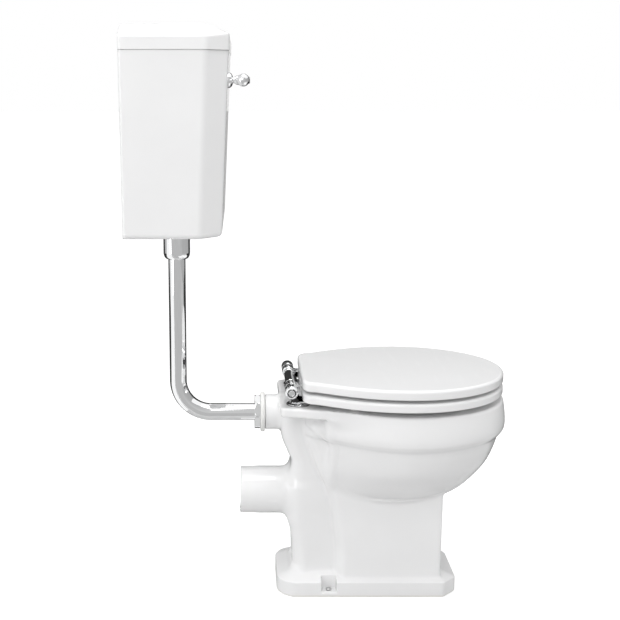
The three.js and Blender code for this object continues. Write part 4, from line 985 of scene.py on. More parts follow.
# ------------------------------------------------------------------ the pan
@dataclass
class Pan:
    """The pan: one casting with rim, bowl, pedestal, trap leg, foot, outlet and flush inlet.

    A profile is (height, inset of the rim's outline), a sump row is (height, back, front, half width),
    the back and half tables are (height, x or half width), the deck's plan is (x, half width) at its
    back and further on, and the shoulder's line is (x, height, fall). The leg's swell is (x, height,
    how much), the outlet and the inlet are (height, radius, end), the socket and the bores have a
    radius and their ends, and the hollows are (middle, half length, half width, corner radius).
    """

    top: float = 424.0
    wall: float = 15.0
    rim_front: float = 780.0
    rim_back: float = 388.0
    rim_half: float = 187.0
    centre: float = 560.0
    profile: tuple[Pair, ...] = (
        (160, 184), (184, 179), (196, 160), (204, 136), (212, 114), (221, 98), (240, 75), (265, 53), (293, 33),
        (324, 20), (347, 13), (357, 5.5), (365, 1), (375, 0), (390, 1), (412, 4), (430, 7),
    )
    sump: tuple[tuple[float, float, float, float], ...] = (
        (120, 464, 536, 34), (150, 464, 536, 35), (166, 460, 554, 43), (182, 456, 578, 50), (206, 447, 634, 67),
        (228, 435, 670, 86), (260, 420, 704, 114), (296, 412, 732, 140), (346, 404, 756, 163), (398, 403, 759, 166),
        (420, 405, 754, 161),
    )
    skin: float = 12.0
    lip_thick: float = 10.0
    lip_drop: float = 44.0
    opening: Egg = Egg(front=725, back=418, half=132)
    leg_back: tuple[Pair, ...] = (
        (-5, 322), (44, 326), (60, 331), (90, 330), (134, 325), (160, 319), (209, 322), (262, 325), (284, 327),
        (305, 319), (344, 305), (372, 302), (430, 302),
    )
    leg_half: tuple[Pair, ...] = ((-5, 58), (30, 57), (60, 55), (240, 55), (380, 59), (430, 64))
    pedestal_back: tuple[Pair, ...] = (
        (-5, 421), (91, 421), (152, 415), (204, 408), (238, 399), (269, 384), (311, 368), (348, 357), (430, 350),
    )
    bowl_low: float = 165.0
    deck_plan: tuple[Pair, ...] = ((301.0, 111.0), (412.0, 134.0))
    deck_ends: Pair = (480.0, 136.0)
    deck_thick: float = 19.5
    deck_corner: float = 9.0
    deck_edge: float = 3.6
    column_half: float = 79.0
    column_front: float = 645.0
    column_clip: float = 16.0
    shoulder_line: Triple = (398.0, 346.0, 0.72)
    shoulder_step: float = 8.0
    shoulder_lean: float = 0.22
    leg_front: float = 500.0
    leg_swell: Triple = (335.0, 230.0, 8.5)
    outlet: Triple = (209.0, 49.0, 219.5)
    inlet: Triple = (383.5, 36.8, 271.0)
    inlet_socket: Triple = (26.0, 250.0, 305.0)
    inlet_bore: Triple = (21.0, 290.0, 393.0)
    trap_wall: Pair = (48.0, 262.0)
    trap_bore: Pair = (38.0, 200.0)
    trap_bend: float = 56.0
    trap_dip: float = 140.0
    sump_x: float = 500.0
    hollow: tuple[float, float, float, float] = (532.5, 97.5, 64.0, 10.0)
    leg_hollow: tuple[float, float, float, float] = (393.5, 46.5, 45.0, 18.0)
    underside_top: float = 186.0
    leg_hollow_top: float = 150.0
    foot_half: float = 92.5
    foot_ends: Pair = (297.5, 680.0)
    foot_corner: float = 46.0
    foot_clip: float = 30.0
    foot_rise: float = 33.0
    foot_run: float = 2.6
    notch: Pair = (407.5, 15.5)
    notch_heights: Pair = (12.0, 48.0)
    notch_wall: float = 71.4
    screw_y: float = 78.5
    screw_seat: float = 12.3
    screw_hole: Pair = (3.6, 20.0)
    hinge_hole: Triple = (338.0, 78.0, 7.8)
    hinge_hole_low: float = 398.0
    spacing: float = 4.12
    quick_spacing: float = 7.0

    def __post_init__(self) -> None:
        """Tables the egg-shaped parts of the pan."""
        heights, insets = np.array(self.profile).T
        self.outer = EggStack(
            heights, self.rim_front - insets, self.rim_back + np.minimum(insets, 12), self.rim_half - insets,
            np.full(len(heights), self.centre) - np.maximum(insets - 100, 0) * 0.5,
        )
        z, back, front, half = np.array(self.sump).T
        self.inner = EggStack(z, front, back, half, np.minimum(self.centre, (back + front) / 2))
        flat = np.array([0.0, 1.0])
        same = np.ones(2)
        egg = self.opening
        self.hole = EggStack(flat, egg.front * same, egg.back * same, egg.half * same, self.centre * same)

    def outside(self, x: Array, y: Array, z: Array) -> Array:
        """Distance to the casting's outer form: its parts joined with fillets.

        Args:
            x: distances from the wall.
            y: distances from the middle plane.
            z: heights.

        Returns:
            The distances.
        """
        bowl = smooth_max(self.outer.distance(x, y, z), z - self.top, 6.0)
        bowl = np.maximum(bowl, self.bowl_low - z)
        blend = 8.0 + 14.0 * ease_in((z - 228.0) / 60.0)
        blend = blend + 16.0 * (ease_in((z - 335.0) / 25.0) - 1.3 * ease_in((z - 372.0) / 24.0))
        body = smooth_min(self.column(x, y, z), bowl, blend)
        body = smooth_min(body, self.leg(x, y, z), 9.0)
        body = smooth_min(body, self.deck(x, y, z), 7.0 + 20.0 * ease_in((x - 380.0) / 35.0))
        body = np.maximum(body, z - self.top)
        body = smooth_min(body, rod_x(x, y, z, *self.outlet, 420.0, 2.0), 22.0)
        body = smooth_min(body, rod_x(x, y, z, *self.inlet, 360.0, 2.0), 8.0)
        return smooth_min(body, self.foot(x, y, z), 5.0)

    def column(self, x: Array, y: Array, z: Array) -> Array:
        """Distance to the pedestal: its back corners are clipped, and above a falling line it is wider.

        The half width steps out across the line and leans in again above it, ahead of the bowl.

        Args:
            x: distances from the wall.
            y: distances from the middle plane.
            z: heights.

        Returns:
            The distances.
        """
        back = smooth_curve(*np.array(self.pedestal_back, float).T, z)
        line_x, line_z, fall = self.shoulder_line
        rise = z - line_z - fall * (line_x - x)
        step = self.shoulder_step * ease_in((rise + 6.0) / 12.0) - self.shoulder_lean * np.maximum(rise - 6.0, 0)
        half = self.column_half + step * (1 - ease_in((x - 450.0) / 60.0))
        middle, reach = (back + self.column_front) / 2, (self.column_front - back) / 2
        block = rounded_rectangle(x - middle, y, reach, half, 6.0)
        block = smooth_max(block, (self.column_clip + np.abs(y) - half + back - x) / math.sqrt(2), 5.0)
        return np.maximum(block, z - 403.0)

    def leg(self, x: Array, y: Array, z: Array) -> Array:
        """Distance to the leg behind the pedestal, which swells round the outlet.

        Args:
            x: distances from the wall.
            y: distances from the middle plane.
            z: heights.

        Returns:
            The distances.
        """
        rear = smooth_curve(*np.array(self.leg_back, float).T, z)
        width = smooth_curve(*np.array(self.leg_half, float).T, z)
        swell_x, swell_z, swell = self.leg_swell
        swell = swell * (1 - ease_in((x - swell_x) / 75.0)) * (1 - ease_in((z - swell_z) / 20.0))
        middle, reach = (rear + self.leg_front) / 2, (self.leg_front - rear) / 2
        return np.maximum(rounded_rectangle(x - middle, y, reach, width + swell, 30.0), z - 410.0)

    def deck(self, x: Array, y: Array, z: Array) -> Array:
        """Distance to the flat deck behind the rim, which carries the hinge: a slab on a tapered plan.

        Args:
            x: distances from the wall.
            y: distances from the middle plane.
            z: heights.

        Returns:
            The distances.
        """
        (back, back_half), (front, front_half) = self.deck_plan
        lean = (front_half - back_half) / (front - back)
        flank = (np.abs(y) - back_half - lean * (x - back)) / math.hypot(1, lean)
        plan = rounded_corner(flank, back - x, self.deck_corner)
        plan = np.maximum(np.maximum(plan, x - self.deck_ends[0]), np.abs(y) - self.deck_ends[1])
        return slab_of(plan, z, self.top - self.deck_thick, self.top, self.deck_edge)

    def foot(self, x: Array, y: Array, z: Array) -> Array:
        """Distance to the foot: a slab with clipped front corners whose sides slope in at the top.

        Args:
            x: distances from the wall.
            y: distances from the middle plane.
            z: heights.

        Returns:
            The distances.
        """
        flank = np.abs(y) - self.foot_half
        back, front = self.foot_ends[0] - x, x - self.foot_ends[1]
        rear = rounded_corner(flank, back, self.foot_corner)
        clip = (flank + front + self.foot_clip) / math.sqrt(2)
        plan = smooth_max(np.maximum(rear, front), clip, 4.0)
        slope = (plan + self.foot_run * (z - self.foot_rise)) / math.hypot(1, self.foot_run)
        return smooth_max(smooth_max(plan, slope, 1.6), -z, 2.0)

    def trap(self, x: Array, y: Array, z: Array, radius: float, end: float) -> Array:
        """Distance to the trapway: down from the sump, round the bend, up, and over to the outlet.

        Its middle line is a straight limb, half a circle, a quarter circle and a level limb.

        Args:
            x: distances from the wall.
            y: distances from the middle plane.
            z: heights.
            radius: the tube's radius.
            end: where it ends at the outlet.

        Returns:
            The distances.
        """
        bend, dip, sump_x, out_z = self.trap_bend, self.trap_dip, self.sump_x, self.outlet[0]
        down = np.hypot(x - sump_x, np.maximum(dip - z, 0) + np.maximum(z - 205.0, 0))
        low = np.abs(np.hypot(x - (sump_x - bend), z - dip) - bend)
        low = np.where(z < dip, low, 1e3)
        weir_x, weir_z = sump_x - 3 * bend, out_z - bend
        rising = np.hypot(x - (sump_x - 2 * bend), np.maximum(z - weir_z, 0) + np.maximum(dip - z, 0))
        over = np.abs(np.hypot(x - weir_x, z - weir_z) - bend)
        over = np.where((x > weir_x) & (z > weir_z), over, 1e3)
        level = np.hypot(z - out_z, np.maximum(x - weir_x, 0) + np.maximum(end - x, 0))
        line = np.minimum(np.minimum(np.minimum(down, low), np.minimum(rising, over)), level)
        return np.hypot(line, y) - radius

    def underside(self, x: Array, y: Array, z: Array) -> Array:
        """Distance to the hollow under the pedestal and the leg, open at the floor.

        Args:
            x: distances from the wall.
            y: distances from the middle plane.
            z: heights.

        Returns:
            The distances.
        """
        column = rounded_rectangle(x - self.hollow[0], y, *self.hollow[1:])
        leg = rounded_rectangle(x - self.leg_hollow[0], y, *self.leg_hollow[1:])
        leg = np.maximum(leg, z - self.leg_hollow_top)
        hollow = smooth_min(np.maximum(column, z - self.underside_top), leg, 4.0)
        return smooth_max(hollow, z - self.underside_top, 8.0)

    def fixings(self, x: Array, y: Array, z: Array) -> Array:
        """Distance to the notches and screw holes in the foot and the hinge holes in the deck.

        Args:
            x: distances from the wall.
            y: distances from the middle plane.
            z: heights.

        Returns:
            The distances.
        """
        side = np.abs(y)
        place, half = self.notch
        low, high = self.notch_heights
        notch = np.maximum(np.maximum(np.abs(x - place) - half, low - z), self.notch_wall - side)
        notch = np.maximum(notch, z - high)
        radius, top = self.screw_hole
        screw = np.maximum(np.hypot(x - place, side - self.screw_y) - radius, z - top)
        stud_x, stud_y, radius = self.hinge_hole
        stud = np.maximum(np.hypot(x - stud_x, side - stud_y) - radius, self.hinge_hole_low - z)
        return np.minimum(np.minimum(notch, screw), stud)

    def distance(self, x: Array, y: Array, z: Array) -> Array:
        """Distance to the whole casting: its outer form, less the hollows, plus what hangs in them.

        Args:
            x: distances from the wall.
            y: distances from the middle plane.
            z: heights.

        Returns:
            The distances.
        """
        solid = carve(self.outside(x, y, z), self.underside(x, y, z), 3.0)
        hanging = smooth_min(self.trap(x, y, z, *self.trap_wall), self.sump_wall(x, y, z), 8.0)
        solid = smooth_min(solid, hanging, 5.0)
        cavity = smooth_max(self.inner.distance(x, y, z), z - (self.top - self.skin), 8.0)
        solid = carve(solid, cavity, 4.0)
        hole = self.hole.distance(x, y, z)
        lip = np.maximum(np.maximum(hole - self.lip_thick, -hole), self.top - self.lip_drop - z)
        solid = smooth_min(solid, np.maximum(lip, z - self.top + 2.0), 3.0)
        solid = carve(solid, np.maximum(hole, self.top - self.lip_drop - 2.0 - z), 4.0)
        solid = carve(solid, self.trap(x, y, z, *self.trap_bore), 2.0)
        socket = rod_x(x, y, z, self.inlet[0], *self.inlet_socket, 1.0)
        bore = rod_x(x, y, z, self.inlet[0], *self.inlet_bore, 1.0)
        solid = carve(solid, np.minimum(socket, bore), 1.5)
        return carve(solid, self.fixings(x, y, z), 1.5)

    def sump_wall(self, x: Array, y: Array, z: Array) -> Array:
        """Distance to the wall round the sump, where it hangs in the hollow pedestal."""
        wall = self.inner.distance(x, y, z, 10.0)
        return smooth_max(smooth_max(wall, z - 215.0, 4.0), 150.0 - z, 4.0)

    def bare(self, points: Array) -> Array:
        """1 where the clay is left unglazed: the foot's underside and the hollow under it.

        Args:
            points: the casting's points, (n, 3).

        Returns:
            The shares, (n,).
        """
        x, y, z = points.T
        hollow = self.underside(x, y, z) < 3.0
        return np.clip(np.maximum(hollow, 1 - np.clip((z - 1.0) / 1.5, 0, 1)), 0, 1)

    def build(self) -> None:
        """Makes the pan's piece with exact normals and its "bare" attribute, and the foot's screws."""
        spacing = self.spacing
        low, high = np.array([214.0, -192.0, -4.0]), np.array([786.0, 192.0, 430.0])
        points, quads = surface_net(self.distance, low, high, spacing)
        points[:, 2] = np.maximum(points[:, 2], 0.0)
        normals = gradient(self.distance, points)
        piece = add_piece("pan_casting", Mesh(points, [quads]), Body.FIXED, CERAMIC, ["pan"], normals=normals)
        for side in Side:
            place = (self.notch[0], side.value * self.screw_y, self.screw_seat)
            Screw(9.3).build(f"foot_screw_{side.label}", place, Axis.Z, f"floor_screw_{side.label}")
        layer = piece.data.attributes.new("bare", "FLOAT", "POINT")
        layer.data.foreach_set("value", self.bare(points).astype(np.float32))


# ------------------------------------------------------------------ the seat
@dataclass
class Seat:
    """The seat: a ring and a lid of moulded plastic on small round pads."""

    outline: Egg = Egg(front=772, back=345, half=187, back_half=128, corner=36)
    ring_bottom: float = 436.5
    ring_top: float = 455.0
    lid_bottom: float = 462.0
    lid_top: float = 482.0
    rounding: float = 7.5
    under_rounding: float = 3.0
    width: float = 56.0
    hole_back: float = 412.0
    crown: float = 0.9
    pads: tuple[tuple[str, float, float], ...] = (("back", 450.0, 120.0), ("front", 668.0, 115.0))
    pad_radius: float = 8.5
    ring_pad: Pair = (424.3, 12.0)
    lid_pad: Pair = (455.3, 6.6)
    middle: Pair = (560.0, 0.0)
    count: int = 224

    def inset(self, by: float) -> Array:
        """The seat's outline drawn in by a distance.

        Args:
            by: the distance.

        Returns:
            The points, (count, 2).
        """
        egg = self.outline
        drawn = Egg(egg.front - by, egg.back + by, egg.half - by, egg.back_half - by,
                    max(egg.corner - by * 0.6, egg.corner * (1 - by / egg.back_half)))
        return drawn.loop(self.count)

    def hole(self, by: float) -> Array:
        """The ring's hole, widened by a distance."""
        egg = self.outline
        return Egg(egg.front - self.width + by, self.hole_back - by, egg.half - self.width + by).loop(self.count)

    def edge(self, bottom: float, top: float) -> Array:
        """Rows of a board's edge as (height, inset): a small lower rounding and a fuller upper one.

        Args:
            bottom: the board's underside.
            top: its top.

        Returns:
            The rows, (n, 2).
        """
        steps, flat = 8, 12.0
        corners = [(bottom, flat, 0.0), (bottom, 0.0, self.under_rounding), (top, 0.0, self.rounding), (top, flat, 0.0)]
        return ease(corners, steps=steps)[steps:-steps]

    def ring(self) -> Mesh:
        """The ring: rows round its outer edge, over its top and down inside the hole.

        Returns:
            The surface.
        """
        rows = self.edge(self.ring_bottom, self.ring_top)
        outer = [level_row(self.inset(inset), z) for z, inset in rows]
        inner = [level_row(self.hole(inset), z) for z, inset in rows[::-1]]
        between = [(1 - s) * outer[-1] + s * inner[0] + (0, 0, 1.1 * math.sin(math.pi * s))
                   for s in (0.2, 0.4, 0.6, 0.8)]
        return Mesh.grid(np.stack([*outer, *between, *inner]), ring=True)

    def lid(self) -> Mesh:
        """The lid: rows up its edge and on over the crowned top, and a flat underside.

        Returns:
            The surface.
        """
        rows = self.edge(self.lid_bottom, self.lid_top)
        side = [level_row(self.inset(inset), z) for z, inset in rows]
        shares = (0.94, 0.86, 0.76, 0.64, 0.5, 0.36, 0.22, 0.1, 0.0)
        top = spread(side[-1], self.middle, shares, self.lid_top, self.crown)
        under = spread(side[0], self.middle, shares[::-1], self.lid_bottom)
        return Mesh.grid(np.stack([*under, *side, *top]))

    def pad(self, place: Pair, bottom: float, height: float) -> Mesh:
        """A round pad with eased edges and a dimple where its screw sits.

        Args:
            place: its middle.
            bottom: its underside.
            height: its height.

        Returns:
            The surface.
        """
        r = self.pad_radius
        corners = [(0, bottom + 1.2, 0), (2.6, bottom + 1.2, 0.4), (3.2, bottom, 0.6), (r, bottom, 1.6),
                   (r, bottom + height, 0.8), (0, bottom + height, 0)]
        return turned(corners, (*place, 0), sides=40)

    def build(self) -> None:
        """Makes the ring, the lid and their pads."""
        add_piece("seat_ring_moulded", self.ring(), Body.RING, SEAT_WHITE, ["seat_ring"])
        add_piece("seat_lid_moulded", self.lid(), Body.LID, SEAT_WHITE, ["seat_lid"])
        for place, x, y in self.pads:
            for side in Side:
                at = (x, side.value * y)
                name = f"{place}_{side.label}"
                add_piece(f"ring_pad_{name}", self.pad(at, *self.ring_pad), Body.RING, WHITE_RUBBER,
                          [f"ring_buffer_{name}"])
                add_piece(f"lid_pad_{name}", self.pad(at, *self.lid_pad), Body.LID, WHITE_RUBBER,
                          [f"lid_buffer_{name}"])


@dataclass
class Hinge:
    """The seat's bar hinge: two posts on the deck, a rod, a sleeve, and knuckles for ring and lid."""

    x: float = 323.0
    z: float = 455.6
    barrel: float = 12.9
    rod: float = 4.0
    post: Pair = (66.0, 90.0)
    ring_knuckle: Pair = (90.3, 102.3)
    lid_knuckle: Pair = (53.7, 65.7)
    cap: Pair = (102.6, 110.6)
    disc: Pair = (338.0, 78.0)
    disc_radius: float = 23.5
    deck: float = 424.3
    arm_reach: float = 384.0
    ring_under: float = 436.5
    lid_under: float = 462.0
    rod_end: float = 106.6
    sleeve: Pair = (10.0, 53.4)

    def along(self, side: Side, corners: Sequence[Triple], hollow: bool = False) -> Mesh:
        """A piece turned about the rod, its profile mirrored to the side asked for."""
        placed = [(radius, side.value * y, rounding) for radius, y, rounding in corners]
        return turned(placed, (self.x, 0, self.z), Axis.Y, 56, hollow)

    def on_deck(self, side: Side) -> Triple:
        """The foot of the upright axis through a post's disc, stud and plug."""
        return (self.disc[0], side.value * self.disc[1], 0)

    def knuckle(self, side: Side, span: Pair, groove: bool = False) -> Mesh:
        """A barrel round the rod with rounded ends, and a turned groove on the wider ones.

        Args:
            side: the barrel's side.
            span: its ends along the rod.
            groove: whether it has the groove.

        Returns:
            The surface.
        """
        low, high = span
        r, inner = self.barrel, self.rod + 0.6
        middle = (low + high) / 2
        waist = [(r, middle - 1.8, 0.2), (r - 0.5, middle - 1.3, 0.2), (r - 0.5, middle + 1.3, 0.2),
                 (r, middle + 1.8, 0.2)] if groove else []
        corners = [(inner, low, 0), (r, low, 0.5), *waist, (r, high, 0.5), (inner, high, 0)]
        return self.along(side, corners, hollow=True)

    def foot(self, side: Side) -> Mesh:
        """The post's disc on the deck, with a stepped, domed top.

        Args:
            side: the post's side.

        Returns:
            The surface.
        """
        r, low = self.disc_radius, self.deck
        return turned([(0, low, 0), (r, low + 0.8, 0.3), (r, low + 2, 0.8), (17.6, low + 4.4, 0.8),
                       (16.6, low + 3.4, 0.4), (13, low + 6.6, 2), (0, low + 7.4, 0)],
                      self.on_deck(side), sides=72)

    def gasket(self, side: Side) -> Mesh:
        """A thin black ring under the disc, a little wider than the disc, as painted contact shadow round the disc's
        foot.
        """
        low, high, r, bore = self.deck - 0.2, self.deck + 1.0, self.disc_radius + 0.9, 5.0
        return turned([(bore, low, 0), (r, low, 0.2), (r, high, 0.4), (bore, high, 0)], self.on_deck(side),
                      sides=72, hollow=True)

    def painted_shade_neck(self, side: Side) -> Mesh:
        """The bush that leans from the disc up into the post's barrel. It is black as painted shade, for the dark gap
        between the cap and the disc.

        Args:
            side: the post's side.

        Returns:
            The surface.
        """
        low, x, y = self.deck + 3, self.disc[0], side.value * self.disc[1]
        outline = ease([(self.x - 9, self.z - 4, 3), (x - 12, low, 2), (x + 8, low, 2), (self.x + 11, self.z - 3, 3)],
                       closed=True)
        return extruded(outline, y - 8.5, y + 8.5, Axis.Y, 2.2)

    def end_cap(self, side: Side) -> Mesh:
        """The cap on the rod's end: a bevelled rim round a groove and a low button.

        Args:
            side: the post's side.

        Returns:
            The surface.
        """
        low, high = self.cap
        return self.along(side, [(0, low, 0), (self.barrel - 0.4, low, 0.6), (self.barrel, high - 1.9, 0.8),
                                 (8.9, high + 2, 0.8), (8.5, high - 1.2, 0.3), (6.9, high - 1.2, 0.3),
                                 (6.6, high + 1.6, 0.7), (0, high + 2.2, 0)])

    def groove_shade_ring(self, side: Side) -> Mesh:
        """A black ring that lies in the cap's groove, as painted shade for the shadow in the groove."""
        inner, outer, low, high = 6.95, 8.45, self.cap[1] - 1.1, self.cap[1] + 0.9
        return self.along(side, [(inner, low, 0.2), (outer, low, 0.2), (outer, high, 0.5), (inner, high, 0.5),
                                 (inner, low, 0.2)])

    def arm(self, side: Side, span: Pair, under: float) -> Mesh:
        """A flat arm from a knuckle to the underside of a board, as thick as its strap.

        Args:
            side: the arm's side.
            span: its knuckle's ends along the rod.
            under: the board's underside.

        Returns:
            The surface.
        """
        top = under - 0.3
        outline = ease([
            (self.x + 3, self.z - 9, 1), (self.x + 10, self.z - 8.5, 3), (341, top - 3.2, 5),
            (self.arm_reach, top - 3.2, 1.2), (self.arm_reach, top, 0.6), (339, top, 4), (self.x + 3, self.z + 9, 2),
        ], closed=True)
        low, high = sorted(side.value * y for y in span)
        return extruded(outline, low + 0.4, high - 0.4, Axis.Y, 0.7)

    def build(self) -> None:
        """Makes every piece of the hinge."""
        for side in Side:
            label = side.label
            post = self.knuckle(side, self.post, True) + self.foot(side)
            add_piece(f"post_{label}", post, Body.FIXED, CHROME, [f"hinge_post_{label}"])
            # painted shade: this bush is black so that it shows as the dark gap under the cap
            add_piece(f"bush_{label}", self.painted_shade_neck(side), Body.FIXED, BLACK_RUBBER)
            ring = self.knuckle(side, self.ring_knuckle) + self.arm(side, self.ring_knuckle, self.ring_under)
            add_piece(f"ring_arm_{label}", ring, Body.RING, CHROME, [f"ring_hinge_{label}"])
            lid = self.knuckle(side, self.lid_knuckle) + self.arm(side, self.lid_knuckle, self.lid_under)
            add_piece(f"lid_arm_{label}", lid, Body.LID, CHROME, [f"lid_hinge_{label}"])
            add_piece(f"hinge_cap_{label}", self.end_cap(side), Body.FIXED, CHROME, [f"hinge_end_cap_{label}"])
            # painted shade: a black ring in the cap's groove stands in for the groove's shadow
            add_piece(f"cap_seal_{label}", self.groove_shade_ring(side), Body.FIXED, BLACK_RUBBER)
            # painted contact shadow: a black ring that shows round the foot of the disc
            add_piece(f"gasket_{label}", self.gasket(side), Body.FIXED, BLACK_RUBBER)
            self.build_fixing(side)
        r, end = self.rod, self.rod_end
        rod = turned([(0, -end, 0), (r, -end, 0.6), (r, end, 0.6), (0, end, 0)], (self.x, 0, self.z), Axis.Y, 40)
        add_piece("rod", rod, Body.FIXED, STEEL, ["hinge_rod"])
        self.build_sleeve()

    def build_sleeve(self) -> None:
        """Makes the sleeve between the knuckles, with a bead near each end."""
        inner = self.rod + 0.3
        r, end = self.sleeve
        half = [(r, 40.0, 0.8), (r + 1.1, 41.2, 0.6), (r + 1.1, 43.8, 0.6), (r, 45.0, 0.8), (r, end, 1.0)]
        corners = [(inner, end, 0), *half[::-1], *[(a, -b, c) for a, b, c in half], (inner, -end, 0)]
        sleeve = turned(corners, (self.x, 0, self.z), Axis.Y, 56, hollow=True)
        add_piece("sleeve", sleeve, Body.FIXED, CHROME, ["hinge_sleeve"])

    def build_fixing(self, side: Side) -> None:
        """Makes a post's stud and its ribbed rubber plug in the deck.

        Args:
            side: the post's side.
        """
        at = self.on_deck(side)
        stud = turned([(0, 398, 0), (4, 398, 0.8), (4, 424, 0.2), (0, 424, 0)], at, sides=32)
        add_piece(f"stud_{side.label}", stud, Body.FIXED, STEEL, [f"hinge_stud_{side.label}"])
        ribs = [(9.6 - 0.8 * (i % 2), 404.2 - 1.1 * i, 0.4) for i in range(6)]
        plug = turned([(4.3, 423.6, 0), (7.4, 423.6, 0.4), (7.4, 404.6, 0.3), *ribs, (4.3, 397.8, 0)], at, sides=40,
                      hollow=True)
        add_piece(f"plug_{side.label}", plug, Body.FIXED, BLACK_RUBBER, [f"hinge_plug_{side.label}"])


# ------------------------------------------------------------------ screws
@dataclass
class Screw:
    """A fixing screw: a threaded shank and a domed head with a cross-shaped recess."""

    shank: float
    head: float = 6.5
    rise: float = 4.0
    thread: float = 3.0
    pitch: float = 2.0

    def distance(self, x: Array, y: Array, z: Array) -> Array:
        """Distance to the screw about its own axis: z is 0 under the head and rises out of it.

        Args:
            x: one way across the screw.
            y: the other way across.
            z: distances along it.

        Returns:
            The distances.
        """
        out = np.hypot(x, y)
        ball = (self.head**2 + self.rise**2) / (2 * self.rise)
        dome = smooth_max(np.hypot(out, z - self.rise + ball) - ball, -z, 0.5)
        dome = smooth_max(dome, out - self.head, 0.6)
        arms = np.minimum(np.maximum(np.abs(x) - 0.7, np.abs(y) - 2.6), np.maximum(np.abs(y) - 0.7, np.abs(x) - 2.6))
        dome = carve(dome, np.maximum(arms, 1.4 + 0.3 * out - z), 0.3)
        ridge = 0.5 * np.abs(((z + np.arctan2(y, x) / (2 * math.pi) * self.pitch) / self.pitch) % 1 - 0.5)
        taper = np.clip((z + self.shank) / 3.0, 0.2, 1)
        shank = np.maximum(out - (self.thread - ridge) * taper, np.maximum(-self.shank - z, z - 0.5))
        return np.minimum(dome, shank * 0.8)

    def build(self, name: str, place: Triple, axis: Axis, node: str) -> None:
        """Makes the screw with its head facing along an axis, the place being under its head.

        Args:
            name: the piece's name.
            place: the point under its head.
            axis: X or Z, the way its head faces.
            node: the node that it replaces.
        """
        low = np.array([-self.head - 1, -self.head - 1, -self.shank - 1])
        high = np.array([self.head + 1, self.head + 1, self.rise + 1])
        points, quads = surface_net(self.distance, low, high, 0.45)
        order = [2, 0, 1] if axis is Axis.X else [0, 1, 2]
        normals = gradient(self.distance, points, 0.1)[:, order]
        mesh = Mesh(points[:, order] + np.array(place, float), [quads])
        add_piece(name, mesh, Body.FIXED, STEEL, [node], normals=normals)


# ------------------------------------------------------------------ the cistern
def nut(corners: int, reach: float, bore: float, low: float, high: float, origin: Sequence[float], axis: Axis,
        chamfer: float = 2.0) -> Mesh:
    """A nut: a prism whose corners are turned off at both ends, with a round bore.

    At a bearing a past the middle of a flat, the prism's side lies at reach cos(pi / n) / cos(a).
    The turned ends limit it to a cone that rises to the corners over twice the chamfer's length.

    Args:
        corners: how many corners the nut has.
        reach: from its middle to a corner.
        bore: the bore's radius.
        low: where it starts along the axis.
        high: where it ends.
        origin: the axis's zero point.
        axis: the axis's direction.
        chamfer: how much of the corners is turned off at the ends.

    Returns:
        The surface.
    """
    per_side, worn = 12, 0.35
    bearing = np.linspace(0, 2 * math.pi, corners * per_side, endpoint=False)
    part = 2 * math.pi / corners
    prism = reach * math.cos(part / 2) / np.cos((bearing % part) - part / 2)
    prism = np.minimum(prism, reach - worn)
    length = high - low
    along = np.concatenate([np.linspace(0, 2 * chamfer, 7), length - np.linspace(0, 2 * chamfer, 7)[::-1]])
    cone = reach - chamfer * (1 - np.minimum(np.minimum(along, length - along) / (2 * chamfer), 1)) ** 1.2
    radius = np.minimum(prism[None], cone[:, None])
    lead = 0.9
    hole, mouth = np.full_like(bearing, bore), np.full_like(bearing, bore + lead)
    rows = [mouth, *radius, mouth, hole, hole]
    places = [0.0, *along, length, length - lead, lead]
    across = np.stack([np.stack([r * np.cos(bearing), r * np.sin(bearing), np.full_like(r, low + at)], 1)
                       for r, at in zip(rows, places)])
    order = {Axis.X: [2, 0, 1], Axis.Y: [1, 2, 0], Axis.Z: [0, 1, 2]}[axis]
    return Mesh.grid(across[:, :, order] + np.array(origin, float), ring=True)


